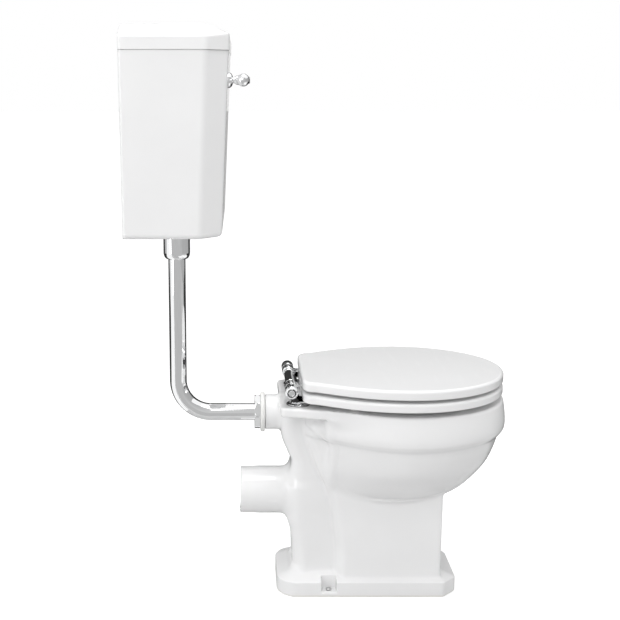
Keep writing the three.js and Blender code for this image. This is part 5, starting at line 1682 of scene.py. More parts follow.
@dataclass
class Cistern:
    """The cistern: a tapered box with clipped front corners, a hipped lid, and two wall screws.

    The clip's share is how much of an inset comes off a corner's chamfer, so that walls stay even.
    """

    bottom: float = 787.0
    top: float = 1129.0
    half: Pair = (235.0, 249.0)
    depth: Pair = (184.0, 197.5)
    chamfer: float = 40.0
    soft: float = 18.0
    back_corner: float = 7.0
    edge: float = 9.0
    wall: float = 8.0
    floor: float = 10.0
    lid_overhang: float = 1.5
    lid_side: float = 25.0
    lid_rise: float = 22.0
    lid_run: float = 52.0
    lid_run_front: float = 45.0
    lid_front_step: float = 5.0
    lid_top_chamfer: float = 8.0
    lid_skin: float = 9.0
    clip_share: float = 0.586
    rim_round: float = 1.6
    inside_round: float = 12.0
    screws: Pair = (150.0, 1062.0)

    def size(self, z: float) -> Pair:
        """Depth and half width at a height: both taper evenly towards the bottom."""
        share = (z - self.bottom) / (self.top - self.bottom)
        return (self.depth[0] + share * (self.depth[1] - self.depth[0]),
                self.half[0] + share * (self.half[1] - self.half[0]))

    def plan(self, back: float, depth: float, half: float, chamfer: float, soft: float) -> Array:
        """The plan outline: a square back and two chamfered front corners, all softened.

        Args:
            back: where its back lies.
            depth: where its front lies.
            half: half its width.
            chamfer: how much its front corners are clipped.
            soft: the radius at the clips.

        Returns:
            The points, (n, 2).
        """
        near = [(back, -half, self.back_corner), (depth - chamfer, -half, soft), (depth, chamfer - half, soft)]
        far = [(x, -y, r) for x, y, r in near[::-1]]
        return ease([*near, *far], closed=True, steps=8)

    def row(self, z: float, inset: float, draw_back: bool = False) -> Array:
        """The body's outline at a height, drawn in by a distance, its back as well where asked.

        Args:
            z: the height.
            inset: the distance.
            draw_back: whether the back is drawn in.

        Returns:
            The points, (n, 3).
        """
        depth, half = self.size(z)
        outline = self.plan(inset if draw_back else 0.0, depth - inset, half - inset,
                            self.chamfer - self.clip_share * inset, max(self.soft - 0.5 * inset, 3.0))
        return level_row(outline, z)

    def body(self) -> Mesh:
        """The body: its underside, sides, rounded rim, inside walls and floor in one closed surface.

        Returns:
            The surface.
        """
        turn = np.linspace(0, math.pi / 2, 9)
        corner = [self.row(self.bottom + self.edge * (1 - math.cos(a)), self.edge * (1 - math.sin(a))) for a in turn]
        sides = [self.row(z, 0.0) for z in np.linspace(self.bottom + 40, self.top - 4, 6)]
        rim_z, r = self.top - 0.3, self.rim_round
        rim = [self.row(rim_z - r * (1 - math.sin(a)), r * (1 - math.cos(a))) for a in turn]
        inner = [self.row(rim_z - r * (1 - math.sin(a)), self.wall - r * (1 - math.cos(a)), True)
                 for a in turn[::-1]]
        low, r = self.bottom + self.floor, self.inside_round
        down = [self.row(z, self.wall, True) for z in np.linspace(self.top - 4, low + r, 5)]
        sweep = [self.row(low + r * (1 - math.sin(a)), self.wall + r * (1 - math.cos(a)), True) for a in turn]
        centre = (95.0, 0.0)
        under = spread(corner[0], centre, (0.0, 0.5, 0.97), self.bottom)
        inside = spread(sweep[-1], centre, (0.97, 0.5, 0.0), low)
        rows = [*under, *corner, *sides, *rim, *inner, *down, *sweep, *inside]
        return Mesh.grid(np.stack(rows))

    def lid_plan(self, run: float, inset: float) -> Array:
        """The lid's outline where its slope has run in by a distance, drawn in by an inset.

        Args:
            run: how far the slope has run in.
            inset: how far inside the outer surface it lies.

        Returns:
            The points, (n, 2).
        """
        depth, half = self.size(self.top)
        share = run / self.lid_run
        chamfer = self.chamfer - self.clip_share * inset + share * (self.lid_top_chamfer - self.chamfer)
        return self.plan(inset, depth + self.lid_overhang - inset - share * self.lid_run_front,
                         half + self.lid_overhang - inset - run, chamfer, self.soft + share * (4.0 - self.soft))

    def lid_rows(self, inset: float, base: float, ceiling: float, soft: Triple) -> list[Array]:
        """Rows up the lid's upright edge, over the shoulder and up its slopes.

        Two eased profiles are worked out, one for the sides and one with the taller shoulder of the
        front. A point's height is their mix, by how far it lies along the corner cut to the front.

        Args:
            inset: how far inside the outer surface the rows lie.
            base: the lowest height.
            ceiling: the height of the level top.
            soft: the radii of the lower edge, the shoulder and the top edge.

        Returns:
            The rows, from the bottom.
        """
        lower, shoulder, upper = soft
        steps, profiles = 8, []
        for step in (0.0, self.lid_front_step):
            side = self.top + self.lid_side + step - inset * 0.33
            profiles.append(ease([(2, base, 0), (0, base, lower), (0, side, shoulder),
                                  (self.lid_run, ceiling, upper), (self.lid_run + 14, ceiling, 0)], steps=steps))
        rows = []
        for (run, low), (_, high) in zip(*profiles):
            outline = self.lid_plan(run, inset)
            front = outline[:, 0].max()
            share = ease_in((outline[:, 0] - front + self.chamfer) / self.chamfer)
            rows.append(level_row(outline, low + share * (high - low)))
        return rows[steps + 1:]

    def lid(self) -> Mesh:
        """The lid: a hollow, hipped cover with soft edges, and the ring under it that finds the body.

        Returns:
            The surface.
        """
        top = self.top + self.lid_side + self.lid_rise
        outer = self.lid_rows(0.0, self.top, top, (1.4, 6.0, 12.0))
        inner = self.lid_rows(self.lid_skin, self.top, top - self.lid_skin, (0.8, 4.0, 8.0))
        centre = (90.0, 0.0)
        cap = spread(outer[-1], centre, (0.8, 0.5, 0.0), top)
        vault = spread(inner[-1], centre, (0.0, 0.5, 0.8), top - self.lid_skin)
        first = level_row(self.lid_plan(0.0, 1.2), self.top)
        last = level_row(self.lid_plan(0.0, self.lid_skin - 1.2), self.top)
        shell = Mesh.grid(np.stack([*vault, *inner[::-1], last, first, *outer, *cap]))
        return shell + self.lid_ring()

    def lid_ring(self) -> Mesh:
        """The ring under the lid, 10 deep, that sits inside the body with play all round.

        Returns:
            The surface.
        """
        depth, half = self.size(self.top)
        place, thick, low = self.wall + 2.0, 5.0, self.top - 10.0
        high = self.top + self.lid_side - 4
        rows = []
        for inset, z in ((0.0, high), (0.0, low + 1.2), (0.5, low + 0.4), (1.4, low), (thick - 1.4, low),
                         (thick - 0.5, low + 0.4), (thick, low + 1.2), (thick, high)):
            by = place + inset
            outline = self.plan(by, depth - by, half - by, self.chamfer - self.clip_share * by, self.soft)
            rows.append(level_row(outline, z))
        return Mesh.grid(np.stack(rows), ring=True)

    def build(self) -> None:
        """Makes the body, the lid and the wall screws."""
        add_piece("cistern_shell", self.body(), Body.FIXED, CERAMIC, ["cistern_body"], crease=50)
        add_piece("cistern_cover", self.lid(), Body.CISTERN_LID, CERAMIC, ["cistern_lid"], crease=50)
        y, z = self.screws
        for side in Side:
            place = (self.wall + 0.3, side.value * y, z)
            Screw(shank=7.3, rise=4.5).build(f"cistern_screw_{side.label}", place, Axis.X, f"wall_screw_{side.label}")


# ------------------------------------------------------------------ the flush pipe
@dataclass
class FlushPipe:
    """The bent flush pipe with its coupling under the cistern and its nut and collar at the pan."""

    x: float = 87.0
    radius: float = 17.9
    wall: float = 1.3
    bend: float = 70.0
    top: float = 737.0
    level: float = 383.5
    end: float = 295.0
    sides: int = 64

    def line(self) -> Array:
        """The middle line: down, round a quarter circle, and level into the pan.

        Returns:
            The line's (x, z) points.
        """
        turn = np.linspace(math.pi, 1.5 * math.pi, 33)
        centre = np.array([self.x + self.bend, self.level + self.bend])
        arc = centre + self.bend * np.stack([np.cos(turn), np.sin(turn)], 1)
        down = np.stack([np.full(13, self.x), np.linspace(self.top, arc[0, 1] + 0.5, 13)], 1)
        along = np.stack([np.linspace(arc[-1, 0] + 0.5, self.end, 9), np.full(9, self.level)], 1)
        return np.concatenate([down, arc, along])

    def tube(self) -> Mesh:
        """The tube: its outer wall, drawn in a little at both ends, and its inner wall.

        Returns:
            The surface.
        """
        line = self.line()
        radii = np.full(len(line), self.radius)
        radii[[0, -1]] -= 0.35
        outer = pipe_grid(line, radii, self.sides)
        inner = pipe_grid(line, radii - self.wall, self.sides)[::-1]
        return Mesh.grid(np.concatenate([outer, inner]), ring=True)

    def union(self) -> Mesh:
        """The coupling nut: a plain cup with a rounded bottom and a fine rolled edge at its top.

        Returns:
            The surface.
        """
        bore, reach, low, high = self.radius + 0.3, 27.5, 714.5, 765.0
        turn = np.linspace(0, math.pi / 2, 9)[1:-1]
        bowl = [(bore + 1.5 + (reach - bore - 1.5) * math.sin(a), low + 13.0 * (1 - math.cos(a)), 0.0) for a in turn]
        return turned([
            (bore, low, 0.4), (bore + 1.5, low, 0.3), *bowl, (reach, low + 13, 0.3), (reach, high - 3.4, 0.5),
            (reach - 0.6, high - 2.8, 0.4), (reach, high - 2.2, 0.4), (reach, high, 0.9), (24.3, high, 0.4),
            (24.3, 722.5, 0.3), (bore, 720.5, 0.3),
        ], (self.x, 0, 0), Axis.Z, 96, hollow=True)

    def build(self) -> None:
        """Makes the pipe and its fittings."""
        add_piece("pipe_tube", self.tube(), Body.FIXED, CHROME, ["flush_pipe"], crease=60)
        add_piece("pipe_union", self.union(), Body.FIXED, CHROME, ["cistern_union"])
        bore = self.radius + 0.3
        seal = turned([(bore, 722.8, 0.5), (23.6, 722.8, 0.6), (23.6, 737.7, 0.6), (bore, 737.7, 0.5)],
                      (self.x, 0, 0), Axis.Z, 56, hollow=True)
        add_piece("union_seal", seal, Body.FIXED, BLACK_RUBBER, ["union_cone"])
        at = (0, 0, self.level)
        big = nut(8, 37.5, bore, 249.3, 261.3, at, Axis.X, 1.8)
        add_piece("pan_nut", big, Body.FIXED, CHROME, ["pan_inlet_nut"], crease=30)
        collar = turned([
            (bore, 261.6, 0.6), (40.4, 261.6, 2), (42.3, 264.4, 1.6), (42.3, 268, 1.6), (40.4, 270.7, 1.6),
            (25.7, 270.7, 0.6), (25.7, 274, 0.3), (24.9, 275, 0.3), (25.5, 278, 0.4), (24.6, 282, 0.4),
            (25, 286, 0.4), (23.7, 298, 1.2), (bore, 298, 0.5),
        ], at, Axis.X, 72, hollow=True)
        add_piece("pan_collar", collar, Body.FIXED, WHITE_RUBBER, ["pan_inlet_collar"])


# ------------------------------------------------------------------ the flush lever
@dataclass
class Lever:
    """The flush lever: a domed bush in the cistern's front, and a spindle with a ball-ended handle."""

    y: float = -140.0
    z: float = 1076.0
    face: float = 195.4
    handle_x: float = 223.9
    long: float = 62.0

    def bush(self) -> Mesh:
        """The domed bush with a step at its foot and a threaded sleeve through the wall.

        Returns:
            The surface.
        """
        bore, end = 5.1, self.face + 9.0
        threads = [(9.0 - 0.5 * (i % 2), self.face - 9.0 - 1.0 * i, 0.15) for i in range(12)]
        return turned([
            (bore, end, 0.4), (7, end, 1.4), (11, self.face + 7.4, 4), (14, self.face + 4, 3),
            (14.3, self.face + 1.6, 0.5), (14.3, self.face - 0.4, 0.3), (9, self.face - 0.4, 0.2), *threads,
            (9, self.face - 22, 0.5), (bore, self.face - 22, 0.4),
        ], (0, self.y, self.z), Axis.X, 72, hollow=True)

    def handle(self) -> Mesh:
        """The spindle with its hub and end button, the tapered arm and the ball, as one casting.

        Returns:
            The surface.
        """
        start = self.face + 9.3
        x = self.handle_x
        hub = turned([
            (0, 114, 0), (4.5, 114, 0.5), (4.5, start - 0.2, 0.1), (5.6, start, 0.5), (5.8, start + 3, 1.5),
            (8.2, start + 6, 3), (9.3, x - 4, 4), (9.4, x + 3, 3), (6.6, x + 8, 1.6), (6.7, x + 11, 1.4),
            (5, x + 12.9, 1.4), (0, x + 13, 0),
        ], (0, self.y, self.z), Axis.X, 64)
        arm = turned([
            (0, -2, 0), (5.4, -2, 1), (4.2, 22, 8), (4.5, self.long - 14.5, 3),
            (6.3, self.long - 12.4, 1), (6.3, self.long - 11.4, 1), (5, self.long - 9.6, 1),
            (0, self.long - 8, 0),
        ], (0, 0, 0), Axis.Y, 48)
        points = arm.points * (1, -1, 1) + np.array([x, self.y, self.z])
        turn = np.linspace(0, math.pi, 33)
        profile = np.stack([11.5 * np.sin(turn), -11.5 * np.cos(turn)], 1)
        ball = Mesh.grid(turn_grid(profile, (x, self.y - self.long, self.z), Axis.Y, 56))
        return hub + Mesh(points, arm.faces) + ball

    def crank(self) -> Mesh:
        """The crank: a flat plate with rounded ends and the pin that works the lift rod.

        Returns:
            The surface.
        """
        outline = ease([(-9, -9, 8), (self.long + 6, -6, 5.5), (self.long + 6, 6, 5.5), (-9, 9, 8)], True, 8)
        plate = extruded(outline + (self.y, self.z), 127.0, 131.0, Axis.X, 0.5)
        pin = turned([(0, 116, 0), (3, 116, 0.6), (3, 132.4, 0.8), (0, 132.6, 0)],
                     (0, self.y + self.long, self.z), Axis.X, 32)
        clamp = turned([(0, 126.4, 0), (7.4, 126.4, 0.5), (7.4, 131.8, 0.9), (0, 131.8, 0)], (0, self.y, self.z),
                       Axis.X, 40)
        return plate + pin + clamp

    def build(self) -> None:
        """Makes the lever's pieces."""
        add_piece("bush", self.bush(), Body.FIXED, CHROME, ["lever_bush"])
        add_piece("handle", self.handle(), Body.LEVER, CHROME, ["flush_lever"])
        add_piece("crank", self.crank(), Body.LEVER, BRASS, ["lever_crank"])
        inner = self.face - 8.0
        back = nut(6, 15.0, 9.3, inner - 8.0, inner - 0.5, (0, self.y, self.z), Axis.X, 1.0)
        add_piece("bush_nut", back, Body.FIXED, BRASS, ["lever_back_nut"], crease=30)


# ------------------------------------------------------------------ inside the cistern
@dataclass
class FlushWorks:
    """The siphon with its lift rod, and the fill valve with its float, on the cistern's floor."""

    pipe: Pair = (87.0, 0.0)
    bell: Pair = (122.0, -83.0)
    valve: Pair = (110.0, 170.0)
    floor: float = 797.0
    under: float = 786.7
    bend_z: float = 1010.0
    tube: float = 20.5
    bore: float = 17.0
    crank_pin: Pair = (-83.6, 1076.0)
    pivot: Pair = (154.0, 1034.0)
    hang: float = 48.0
    arm_long: float = 88.0
    ball: float = 41.5

    def tail(self, r: float, bore: float, flange: float, bottom: float, collar: float) -> list[Triple]:
        """Half of a threaded tail that goes through the floor under a flange, up its outside.

        Args:
            r: the thread's radius.
            bore: the waterway's radius.
            flange: the flange's radius.
            bottom: the tail's lower end.
            collar: the radius above the flange.

        Returns:
            The profile's corners.
        """
        seat = self.floor + 3.3
        count = int((self.under - bottom) / 1.1)
        threads = [(r - 0.8 * (i % 2), bottom + 2 + 1.1 * i, 0.2) for i in range(count)]
        return [(bore, bottom, 0.4), (r - 1.2, bottom, 0.8), *threads, (r, seat, 0.3), (flange, seat, 0.6),
                (flange, seat + 6, 1.4), (collar + 2, seat + 6, 2.0), (collar, seat + 11, 1.0)]

    def ribs(self, outline: Sequence[Pair], at: Pair, count: int, half: float) -> Mesh:
        """Upright ribs round an axis, each from an outline of (radius, z) and half as thick as stated.

        Args:
            outline: a rib's (radius, height) corners.
            at: the axis.
            count: how many ribs.
            half: half a rib's thickness.

        Returns:
            The surface.
        """
        flat = np.array(outline, float)
        first = extruded(flat, -half, half, Axis.Y, 0.3).moved((*at, 0))
        made = first
        for k in range(1, count):
            made = made + first.turned_about((*at, 0), Axis.Z, 360.0 * k / count)
        return made

    def siphon(self) -> Mesh:
        """The siphon: a ribbed flange and tail, the tube over its return bend with a seam, and the bell.

        Returns:
            The surface.
        """
        way = np.array(self.bell) - self.pipe
        reach = float(np.hypot(*way)) - self.tube - 4.5
        turn = np.linspace(math.pi, 0, 33)
        arc = np.stack([reach / 2 * (1 + np.cos(turn)), self.bend_z + reach / 2 * np.sin(turn)], 1)
        up = np.stack([np.zeros(9), np.linspace(self.floor + 4, self.bend_z - 1, 9)], 1)
        down = np.stack([np.full(9, reach), np.linspace(self.bend_z - 1, 882.0, 9)], 1)
        line = np.concatenate([up, arc, down])
        outer = pipe_grid(line, np.full(len(line), self.tube), 72)
        outer[:, [18, 54], 1] *= 1.035
        inner = pipe_grid(line, np.full(len(line), self.bore), 72)[::-1]
        tube = Mesh.grid(np.concatenate([outer, inner]), ring=True).moved((self.pipe[0], 0, 0))
        tube = tube.turned_about((*self.pipe, 0), Axis.Z, math.degrees(math.atan2(way[1], way[0])))
        tail = turned([*self.tail(24, self.bore, 35, 738, 21), (self.bore, 811.3, 0.3)], (*self.pipe, 0),
                      sides=96, hollow=True)
        gussets = self.ribs([(20.8, 806), (33, 806), (33, 807.5), (22, 826), (20.8, 826)], self.pipe, 8, 1.1)
        foot = np.array(self.pipe) + way / np.hypot(*way) * reach
        cuff = turned([(self.tube, 883.8, 0.2), (25, 883.8, 0.4), (25, 886.4, 0.8), (22.4, 888.4, 1),
                       (22, 895, 0.8), (self.tube, 895, 0.2)], (*foot, 0), sides=64, hollow=True)
        bell = turned([
            (43, 806, 0.6), (46, 806, 0.8), (46, 811, 0.6), (45, 812.4, 0.5), (45, 868, 0.6),
            (46, 869.4, 0.5), (46, 874.5, 1), (41.5, 884, 5), (9, 884, 0.8), (8.2, 887.6, 0.8),
            (4.2, 887.6, 0.4), (4.2, 881, 0.3), (38, 881, 3), (43, 872, 3),
        ], (*self.bell, 0), sides=96, hollow=True)
        flutes = self.ribs([(44.8, 812.6), (45.8, 813.4), (45.8, 867.2), (44.8, 868.0)], self.bell, 16, 0.9)
        return tube + tail + gussets + cuff + bell + flutes

    def lift_rod(self) -> Mesh:
        """The piston with its flap, the rod, and the slotted yoke round the crank's pin.

        Returns:
            The surface.
        """
        y, z = self.crank_pin
        rod = turned([(0, 811.9, 0), (34, 811.9, 0.5), (35, 812.8, 0.3), (41.8, 812.9, 0.2), (41.8, 814.2, 0.3),
                      (35, 814.4, 0.3), (34, 816, 0.6), (9, 816, 0.6), (7.5, 821, 1.2), (3, 823, 1),
                      (3, z - 9.4, 0.3), (5, z - 9, 0.4), (5, z - 7, 0.4), (0, z - 7, 0)],
                     (*self.bell, 0), sides=72)
        rows = []
        for x, outer, by in ((119.0, True, 0.6), (119.6, True, 0.0), (124.4, True, 0.0), (125.0, True, 0.6),
                             (125.0, False, 0.5), (124.5, False, 0.0), (119.5, False, 0.0), (119.0, False, 0.5)):
            u, v, r = (14.5 - by, 8.3 - by, 4.0) if outer else (10.5 + by, 4.3 + by, 3.2)
            loop = ease([(-u, -v, r), (u, -v, r), (u, v, r), (-u, v, r)], closed=True, steps=8)
            rows.append(level_row(loop + (y, z), x)[:, [2, 0, 1]])
        return rod + Mesh.grid(np.stack(rows), ring=True)

    def fill_valve(self) -> Mesh:
        """The fill valve: threaded tail, flange, banded column, ribbed cap and the cheeks for the arm.

        Returns:
            The surface.
        """
        x, y = self.valve
        top = self.bend_z + 2
        body = turned([
            *self.tail(10, 7, 19, 752, 14.6), (14, 812.8, 0.4), (14, 895, 0.3), (15, 895.6, 0.3),
            (15, 901.4, 0.3), (14, 902, 0.3), (14, top - 21, 0.5), (17.4, top - 16, 1.5),
            (17.4, top - 1, 0.8), (13, top, 1), (0, top, 0), (0, top - 30, 0), (7, top - 30, 0.5),
        ], (x, y, 0), sides=64, hollow=True)
        cap = self.ribs([(17.0, top - 15), (18.3, top - 14), (18.3, top - 2.4), (17.0, top - 1.6)], self.valve, 18, 0.9)
        outline = ease([(147, top - 6, 1), (178, top - 6, 1), (177, top + 8, 5), (165, top + 29, 6),
                        (147.5, top + 30, 7)], closed=True, steps=6)
        cheeks = extruded(outline, x - 9, x - 5, Axis.X, 0.6) + extruded(outline, x + 5, x + 9, Axis.X, 0.6)
        plunger = turned([(0, top - 1, 0), (3.6, top - 1, 0.3), (3.6, top + 4.5, 0.9), (0, top + 5, 0)], (x, y, 0),
                         sides=32)
        return body + cap + cheeks + plunger

    def hung(self, mesh: Mesh) -> Mesh:
        """A float piece made along -y from the pivot, turned down to where it hangs and put in place."""
        return mesh.turned_about((0, 0, 0), Axis.X, self.hang).moved((self.valve[0], *self.pivot))

    def float_arm(self) -> Mesh:
        """The brass arm: an eye on the pin, a rod with a threaded end, and a lock nut at the ball.

        Returns:
            The surface.
        """
        eye = turned([(2.4, -4.5, 0.3), (6, -4.5, 0.5), (6, 4.5, 0.5), (2.4, 4.5, 0.3)], axis=Axis.X, sides=40,
                     hollow=True)
        end = self.ball - self.arm_long - 0.6
        threads = [(3.0 - 0.35 * (i % 2), -30.0 - 0.6 * i, 0.1) for i in range(25)]
        rod = turned([(0, -4, 0), (3, -4, 0.2), *threads, (2.8, end, 0.3), (0, end, 0)], axis=Axis.Y, sides=32)
        return self.hung(eye + rod + nut(6, 6.2, 3.1, end + 0.6, end + 3.8, (0, 0, 0), Axis.Y, 0.6))

    def float_ball(self) -> Mesh:
        """The float: two moulded halves with a welded seam, and a boss for the arm.

        Returns:
            The surface.
        """
        turn = np.linspace(0, math.pi, 65)
        seam = 0.6 * np.exp(-(((turn - math.pi / 2) / 0.03) ** 2))
        profile = np.stack([(self.ball + seam) * np.sin(turn), -self.ball * np.cos(turn) - self.arm_long], 1)
        boss = turned([(0, -45.9, 0), (7, -45.9, 0.8), (8.5, -49, 1), (0, -49, 0)], axis=Axis.Y, sides=40)
        return self.hung(Mesh.grid(turn_grid(profile, (0, 0, 0), Axis.Y, 72)) + boss)

    def washer(self, outer: float, inner: float, at: Pair) -> Mesh:
        """A flat rubber washer on the cistern's floor, from its radii and its middle."""
        low, high = self.floor + 0.3, self.floor + 3.0
        return turned([(inner, low, 0.3), (outer, low, 0.6), (outer, high, 0.6), (inner, high, 0.3)], (*at, 0),
                      sides=72, hollow=True)

    def build(self) -> None:
        """Makes the works' pieces."""
        add_piece("siphon_moulding", self.siphon(), Body.FIXED, VALVE_PLASTIC, ["siphon"])
        add_piece("siphon_rod", self.lift_rod(), Body.LIFT_ROD, VALVE_PLASTIC, ["siphon_lift_rod"])
        add_piece("siphon_seal", self.washer(35, 24.3, self.pipe), Body.FIXED, BLACK_RUBBER, ["siphon_washer"])
        big = nut(6, 33, 24.3, self.under - 14, self.under, (*self.pipe, 0), Axis.Z, 1.6)
        add_piece("siphon_nut", big, Body.FIXED, VALVE_PLASTIC, ["siphon_back_nut"], crease=30)
        add_piece("valve_moulding", self.fill_valve(), Body.FIXED, VALVE_PLASTIC, ["fill_valve"])
        add_piece("valve_seal", self.washer(19, 10.3, self.valve), Body.FIXED, BLACK_RUBBER, ["fill_valve_washer"])
        small = nut(6, 16, 10.3, self.under - 10, self.under, (*self.valve, 0), Axis.Z, 1.0)
        add_piece("valve_nut", small, Body.FIXED, VALVE_PLASTIC, ["fill_valve_back_nut"], crease=30)
        x = self.valve[0]
        pin = turned([(0, -10.5, 0), (2.9, -10.4, 0.7), (2.9, -9.3, 0.1), (2, -9.3, 0.1), (2, 9.4, 0.1),
                      (2.7, 9.6, 0.2), (2.7, 10.5, 0.3), (0, 10.5, 0)], (x, *self.pivot), Axis.X, 32)
        add_piece("valve_pin", pin, Body.FIXED, BRASS, ["float_pin"])
        add_piece("float_lever", self.float_arm(), Body.FLOAT, BRASS, ["float_arm"])
        add_piece("float_bulb", self.float_ball(), Body.FLOAT, VALVE_PLASTIC, ["float_ball"])


# ------------------------------------------------------------------ the studio
def standing(start: Pair, end: Pair, low: float, high: float, end_high: float = 0.0) -> list[Triple]:
    """The corners of an upright board over a line of the floor, with its own height at the end if given."""
    return [(*start, low), (*end, low), (*end, end_high or high), (*start, high)]


def lying(corners: Sequence[Pair], z: float) -> list[Triple]:
    """The corners of a level board."""
    return [(x, y, z) for x, y in corners]


@dataclass
class Studio:
    """A pale floor, soft lamps, dark flags for the edges of shiny pieces, and the camera."""

    camera_place: Triple = (-0.172, -2.216, 1.069)
    pitch: float = 11.82
    lens: float = 62.71
    shift: float = 0.1129
    ambient: float = 0.88
    floor_size: float = 40.0

    def camera(self) -> None:
        """Sets the camera at the chosen place and angle."""
        data = bpy.data.cameras.new("camera")
        data.lens, data.sensor_width, data.shift_x = self.lens, 36.0, self.shift
        data.clip_end = 50.0
        camera = bpy.data.objects.new("camera", data)
        camera.location = self.camera_place
        camera.rotation_euler = (math.radians(90 - self.pitch), 0, 0)
        bpy.context.scene.collection.objects.link(camera)
        bpy.context.scene.camera = camera

    def world(self) -> None:
        """White where the camera, glossy and transmitted rays see it, and a plain level elsewhere."""
        world = bpy.data.worlds.new("studio")
        world.use_nodes = True
        bpy.context.scene.world = world
        kit = Kit(world.node_tree)
        path = kit.node("ShaderNodeLightPath")
        seen, through, glossy = (Value(kit, path.outputs[f"Is {ray} Ray"])
                                 for ray in ("Camera", "Transmission", "Glossy"))
        seen = seen.math("MAXIMUM", through).math("MAXIMUM", glossy)
        strength = self.ambient + (1.0 - self.ambient) * seen
        light = kit.node("ShaderNodeBackground", {}, {"Color": (1, 1, 1, 1), "Strength": strength})
        kit.node("ShaderNodeOutputWorld", {}, {"Surface": light.outputs[0]})

    def floor(self) -> None:
        """A floor that shows white and keeps the object's shadow."""
        data = bpy.data.meshes.new("floor")
        s = self.floor_size
        data.from_pydata([(-s, -s, 0), (s, -s, 0), (s, s, 0), (-s, s, 0)], [], [(0, 1, 2, 3)])
        floor = bpy.data.objects.new("floor", data)
        bpy.context.scene.collection.objects.link(floor)
        made = bpy.data.materials.new("floor_paper")
        made.use_nodes = True
        kit = Kit(made.node_tree)
        grain = kit.noise(180.0, 3.0)
        paper = kit.node("ShaderNodeBsdfPrincipled", {}, {
            "Base Color": kit.mix(grain, (0.52, 0.52, 0.52), (0.56, 0.56, 0.56)), "Roughness": 0.9,
            "Specular IOR Level": 0.1, "Normal": kit.bump(grain, 0.05),
        })
        path = kit.node("ShaderNodeLightPath")
        seen = Value(kit, path.outputs["Is Camera Ray"])
        glow = kit.node("ShaderNodeEmission", {}, {"Color": (1, 1, 1, 1), "Strength": 0.62 * seen})
        both = kit.node("ShaderNodeAddShader", {}, {0: paper.outputs[0], 1: glow.outputs[0]})
        kit.node("ShaderNodeOutputMaterial", {}, {"Surface": both.outputs[0]})
        data.materials.append(made)

    def flag(self, name: str, corners: Sequence[Triple], shades: Pair) -> None:
        """Adds a plain board that only reflections show, for the dark edges of bright metal.

        Args:
            name: the board's name.
            corners: its four corners, in metres, the first and last at its start.
            shades: its grey at its start and at its end.
        """
        data = bpy.data.meshes.new(name)
        data.from_pydata(corners, [], [(0, 1, 2, 3)])
        layer = data.attributes.new("along", "FLOAT", "POINT")
        layer.data.foreach_set("value", np.array([0, 1, 1, 0], np.float32))
        board = bpy.data.objects.new(name, data)
        bpy.context.scene.collection.objects.link(board)
        for ray in ("camera", "diffuse", "transmission", "volume_scatter", "shadow"):
            setattr(board, f"visible_{ray}", False)
        made = bpy.data.materials.new(f"{name}_card")
        made.use_nodes = True
        kit = Kit(made.node_tree)
        paper = 0.9 + 0.2 * kit.noise(3.0, 2.0)
        start, end = shades
        shade = (start + (end - start) * kit.attribute("along")) * paper
        card = kit.node("ShaderNodeEmission", {}, {"Color": (1, 1, 1, 1), "Strength": shade})
        kit.node("ShaderNodeOutputMaterial", {}, {"Surface": card.outputs[0]})
        data.materials.append(made)

    def lamp(self, name: str, place: Triple, towards: Triple, size: Pair, power: float) -> None:
        """Adds a soft rectangular lamp.

        Args:
            name: the lamp's name.
            place: where it hangs, in metres.
            towards: the point it faces.
            size: its width and height.
            power: its power in watts.
        """
        data = bpy.data.lights.new(name, "AREA")
        data.shape = "RECTANGLE"
        data.size, data.size_y = size
        data.energy = power
        lamp = bpy.data.objects.new(name, data)
        lamp.location = place
        way = np.array(towards, float) - np.array(place, float)
        flat = math.hypot(way[0], way[1])
        lamp.rotation_euler = (math.atan2(flat, -way[2]), 0, math.atan2(-way[0], way[1]))
        bpy.context.scene.collection.objects.link(lamp)

    def build(self) -> None:
        """Makes the studio."""
        scene = bpy.context.scene
        scene.view_settings.view_transform = "Standard"
        self.camera()
        self.world()
        self.floor()
        dark, half, pale = (0.04, 0.04), (0.5, 0.5), (1.0, 1.0)
        boards = {
            "back_left": (standing((-4.6, 2.4), (-0.24, 2.4), 0.02, 2.9), dark),
            "back_right": (standing((-0.1, 2.4), (4.6, 2.4), 0.02, 2.9), dark),
            "hinge_card": (standing((-0.34, 0.35), (0.04, 0.35), 0.3, 0.63), dark),
            "floor_flag": (lying([(-3.0, 0.35), (3.0, 0.35), (4.6, 2.4), (-4.6, 2.4)], 0.012), dark),
            "floor_left": (lying([(-0.5, -0.2), (-0.5, 0.3), (-6.0, 0.3), (-6.0, -5.7)], 0.012), pale),
            "floor_right": (lying([(-0.36, -0.3), (-6.0, -5.9), (6.0, -5.9), (1.5, -0.9)], 0.01), half),
            "floor_near": (lying([(0.0, -1.1), (1.4, -1.1), (1.4, -0.26), (0.0, -0.26)], 0.014), pale),
            "right_flag": (standing((3.2, -3.4), (3.2, 2.3), 0.02, 2.8), (0.45, 0.4)),
            "near_flag": (standing((0.0, -5.8), (3.2, -3.4), 0.02, 8.0, 6.0), (0.6, 0.45)),
            "front_wall": (standing((-4.8, -5.3), (0.0, -5.8), 0.02, 8.0), (0.75, 0.6)),
        }
        for name, (corners, shades) in boards.items():
            self.flag(name, corners, shades)
        lamps = {
            "front_soft": ((-1.2, -2.6, 2.2), (0, 0, 0.6), (2.0, 1.6), 11.0),
            "side_strip": ((-2.3, -1.5, 1.1), (0.1, 0, 0.45), (0.5, 2.0), 12.5),
            "top_soft": ((0.2, -0.5, 3.2), (0, 0, 0.4), (1.5, 1.5), 31.0),
        }
        for name, (place, towards, size, power) in lamps.items():
            self.lamp(name, place, towards, size, power)


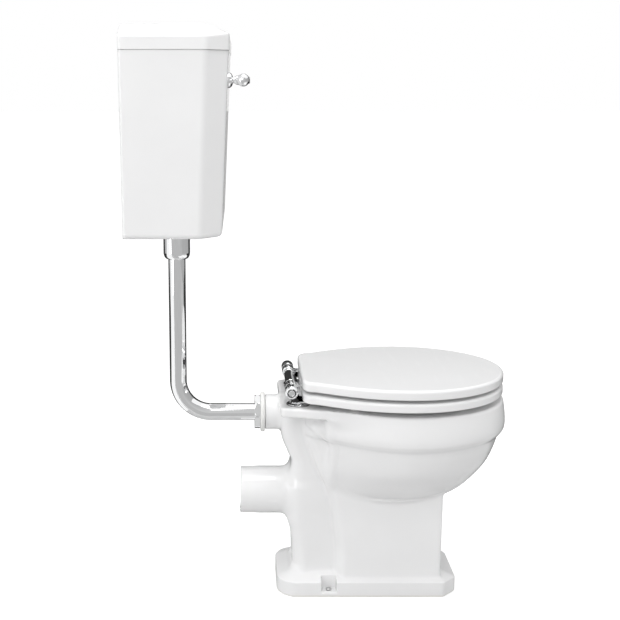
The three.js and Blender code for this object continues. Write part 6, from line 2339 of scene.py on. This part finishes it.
# ------------------------------------------------------------------ making it
def main() -> None:
    """Builds the toilet and the studio round it."""
    logging.basicConfig(level=logging.INFO, format="%(message)s")
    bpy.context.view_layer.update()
    for part in (Pan(), Seat(), Hinge(), Cistern(), FlushPipe(), Lever(), FlushWorks(), Studio()):
        log.info("building %s", type(part).__name__)
        part.build()


if __name__ == "__main__":
    main()
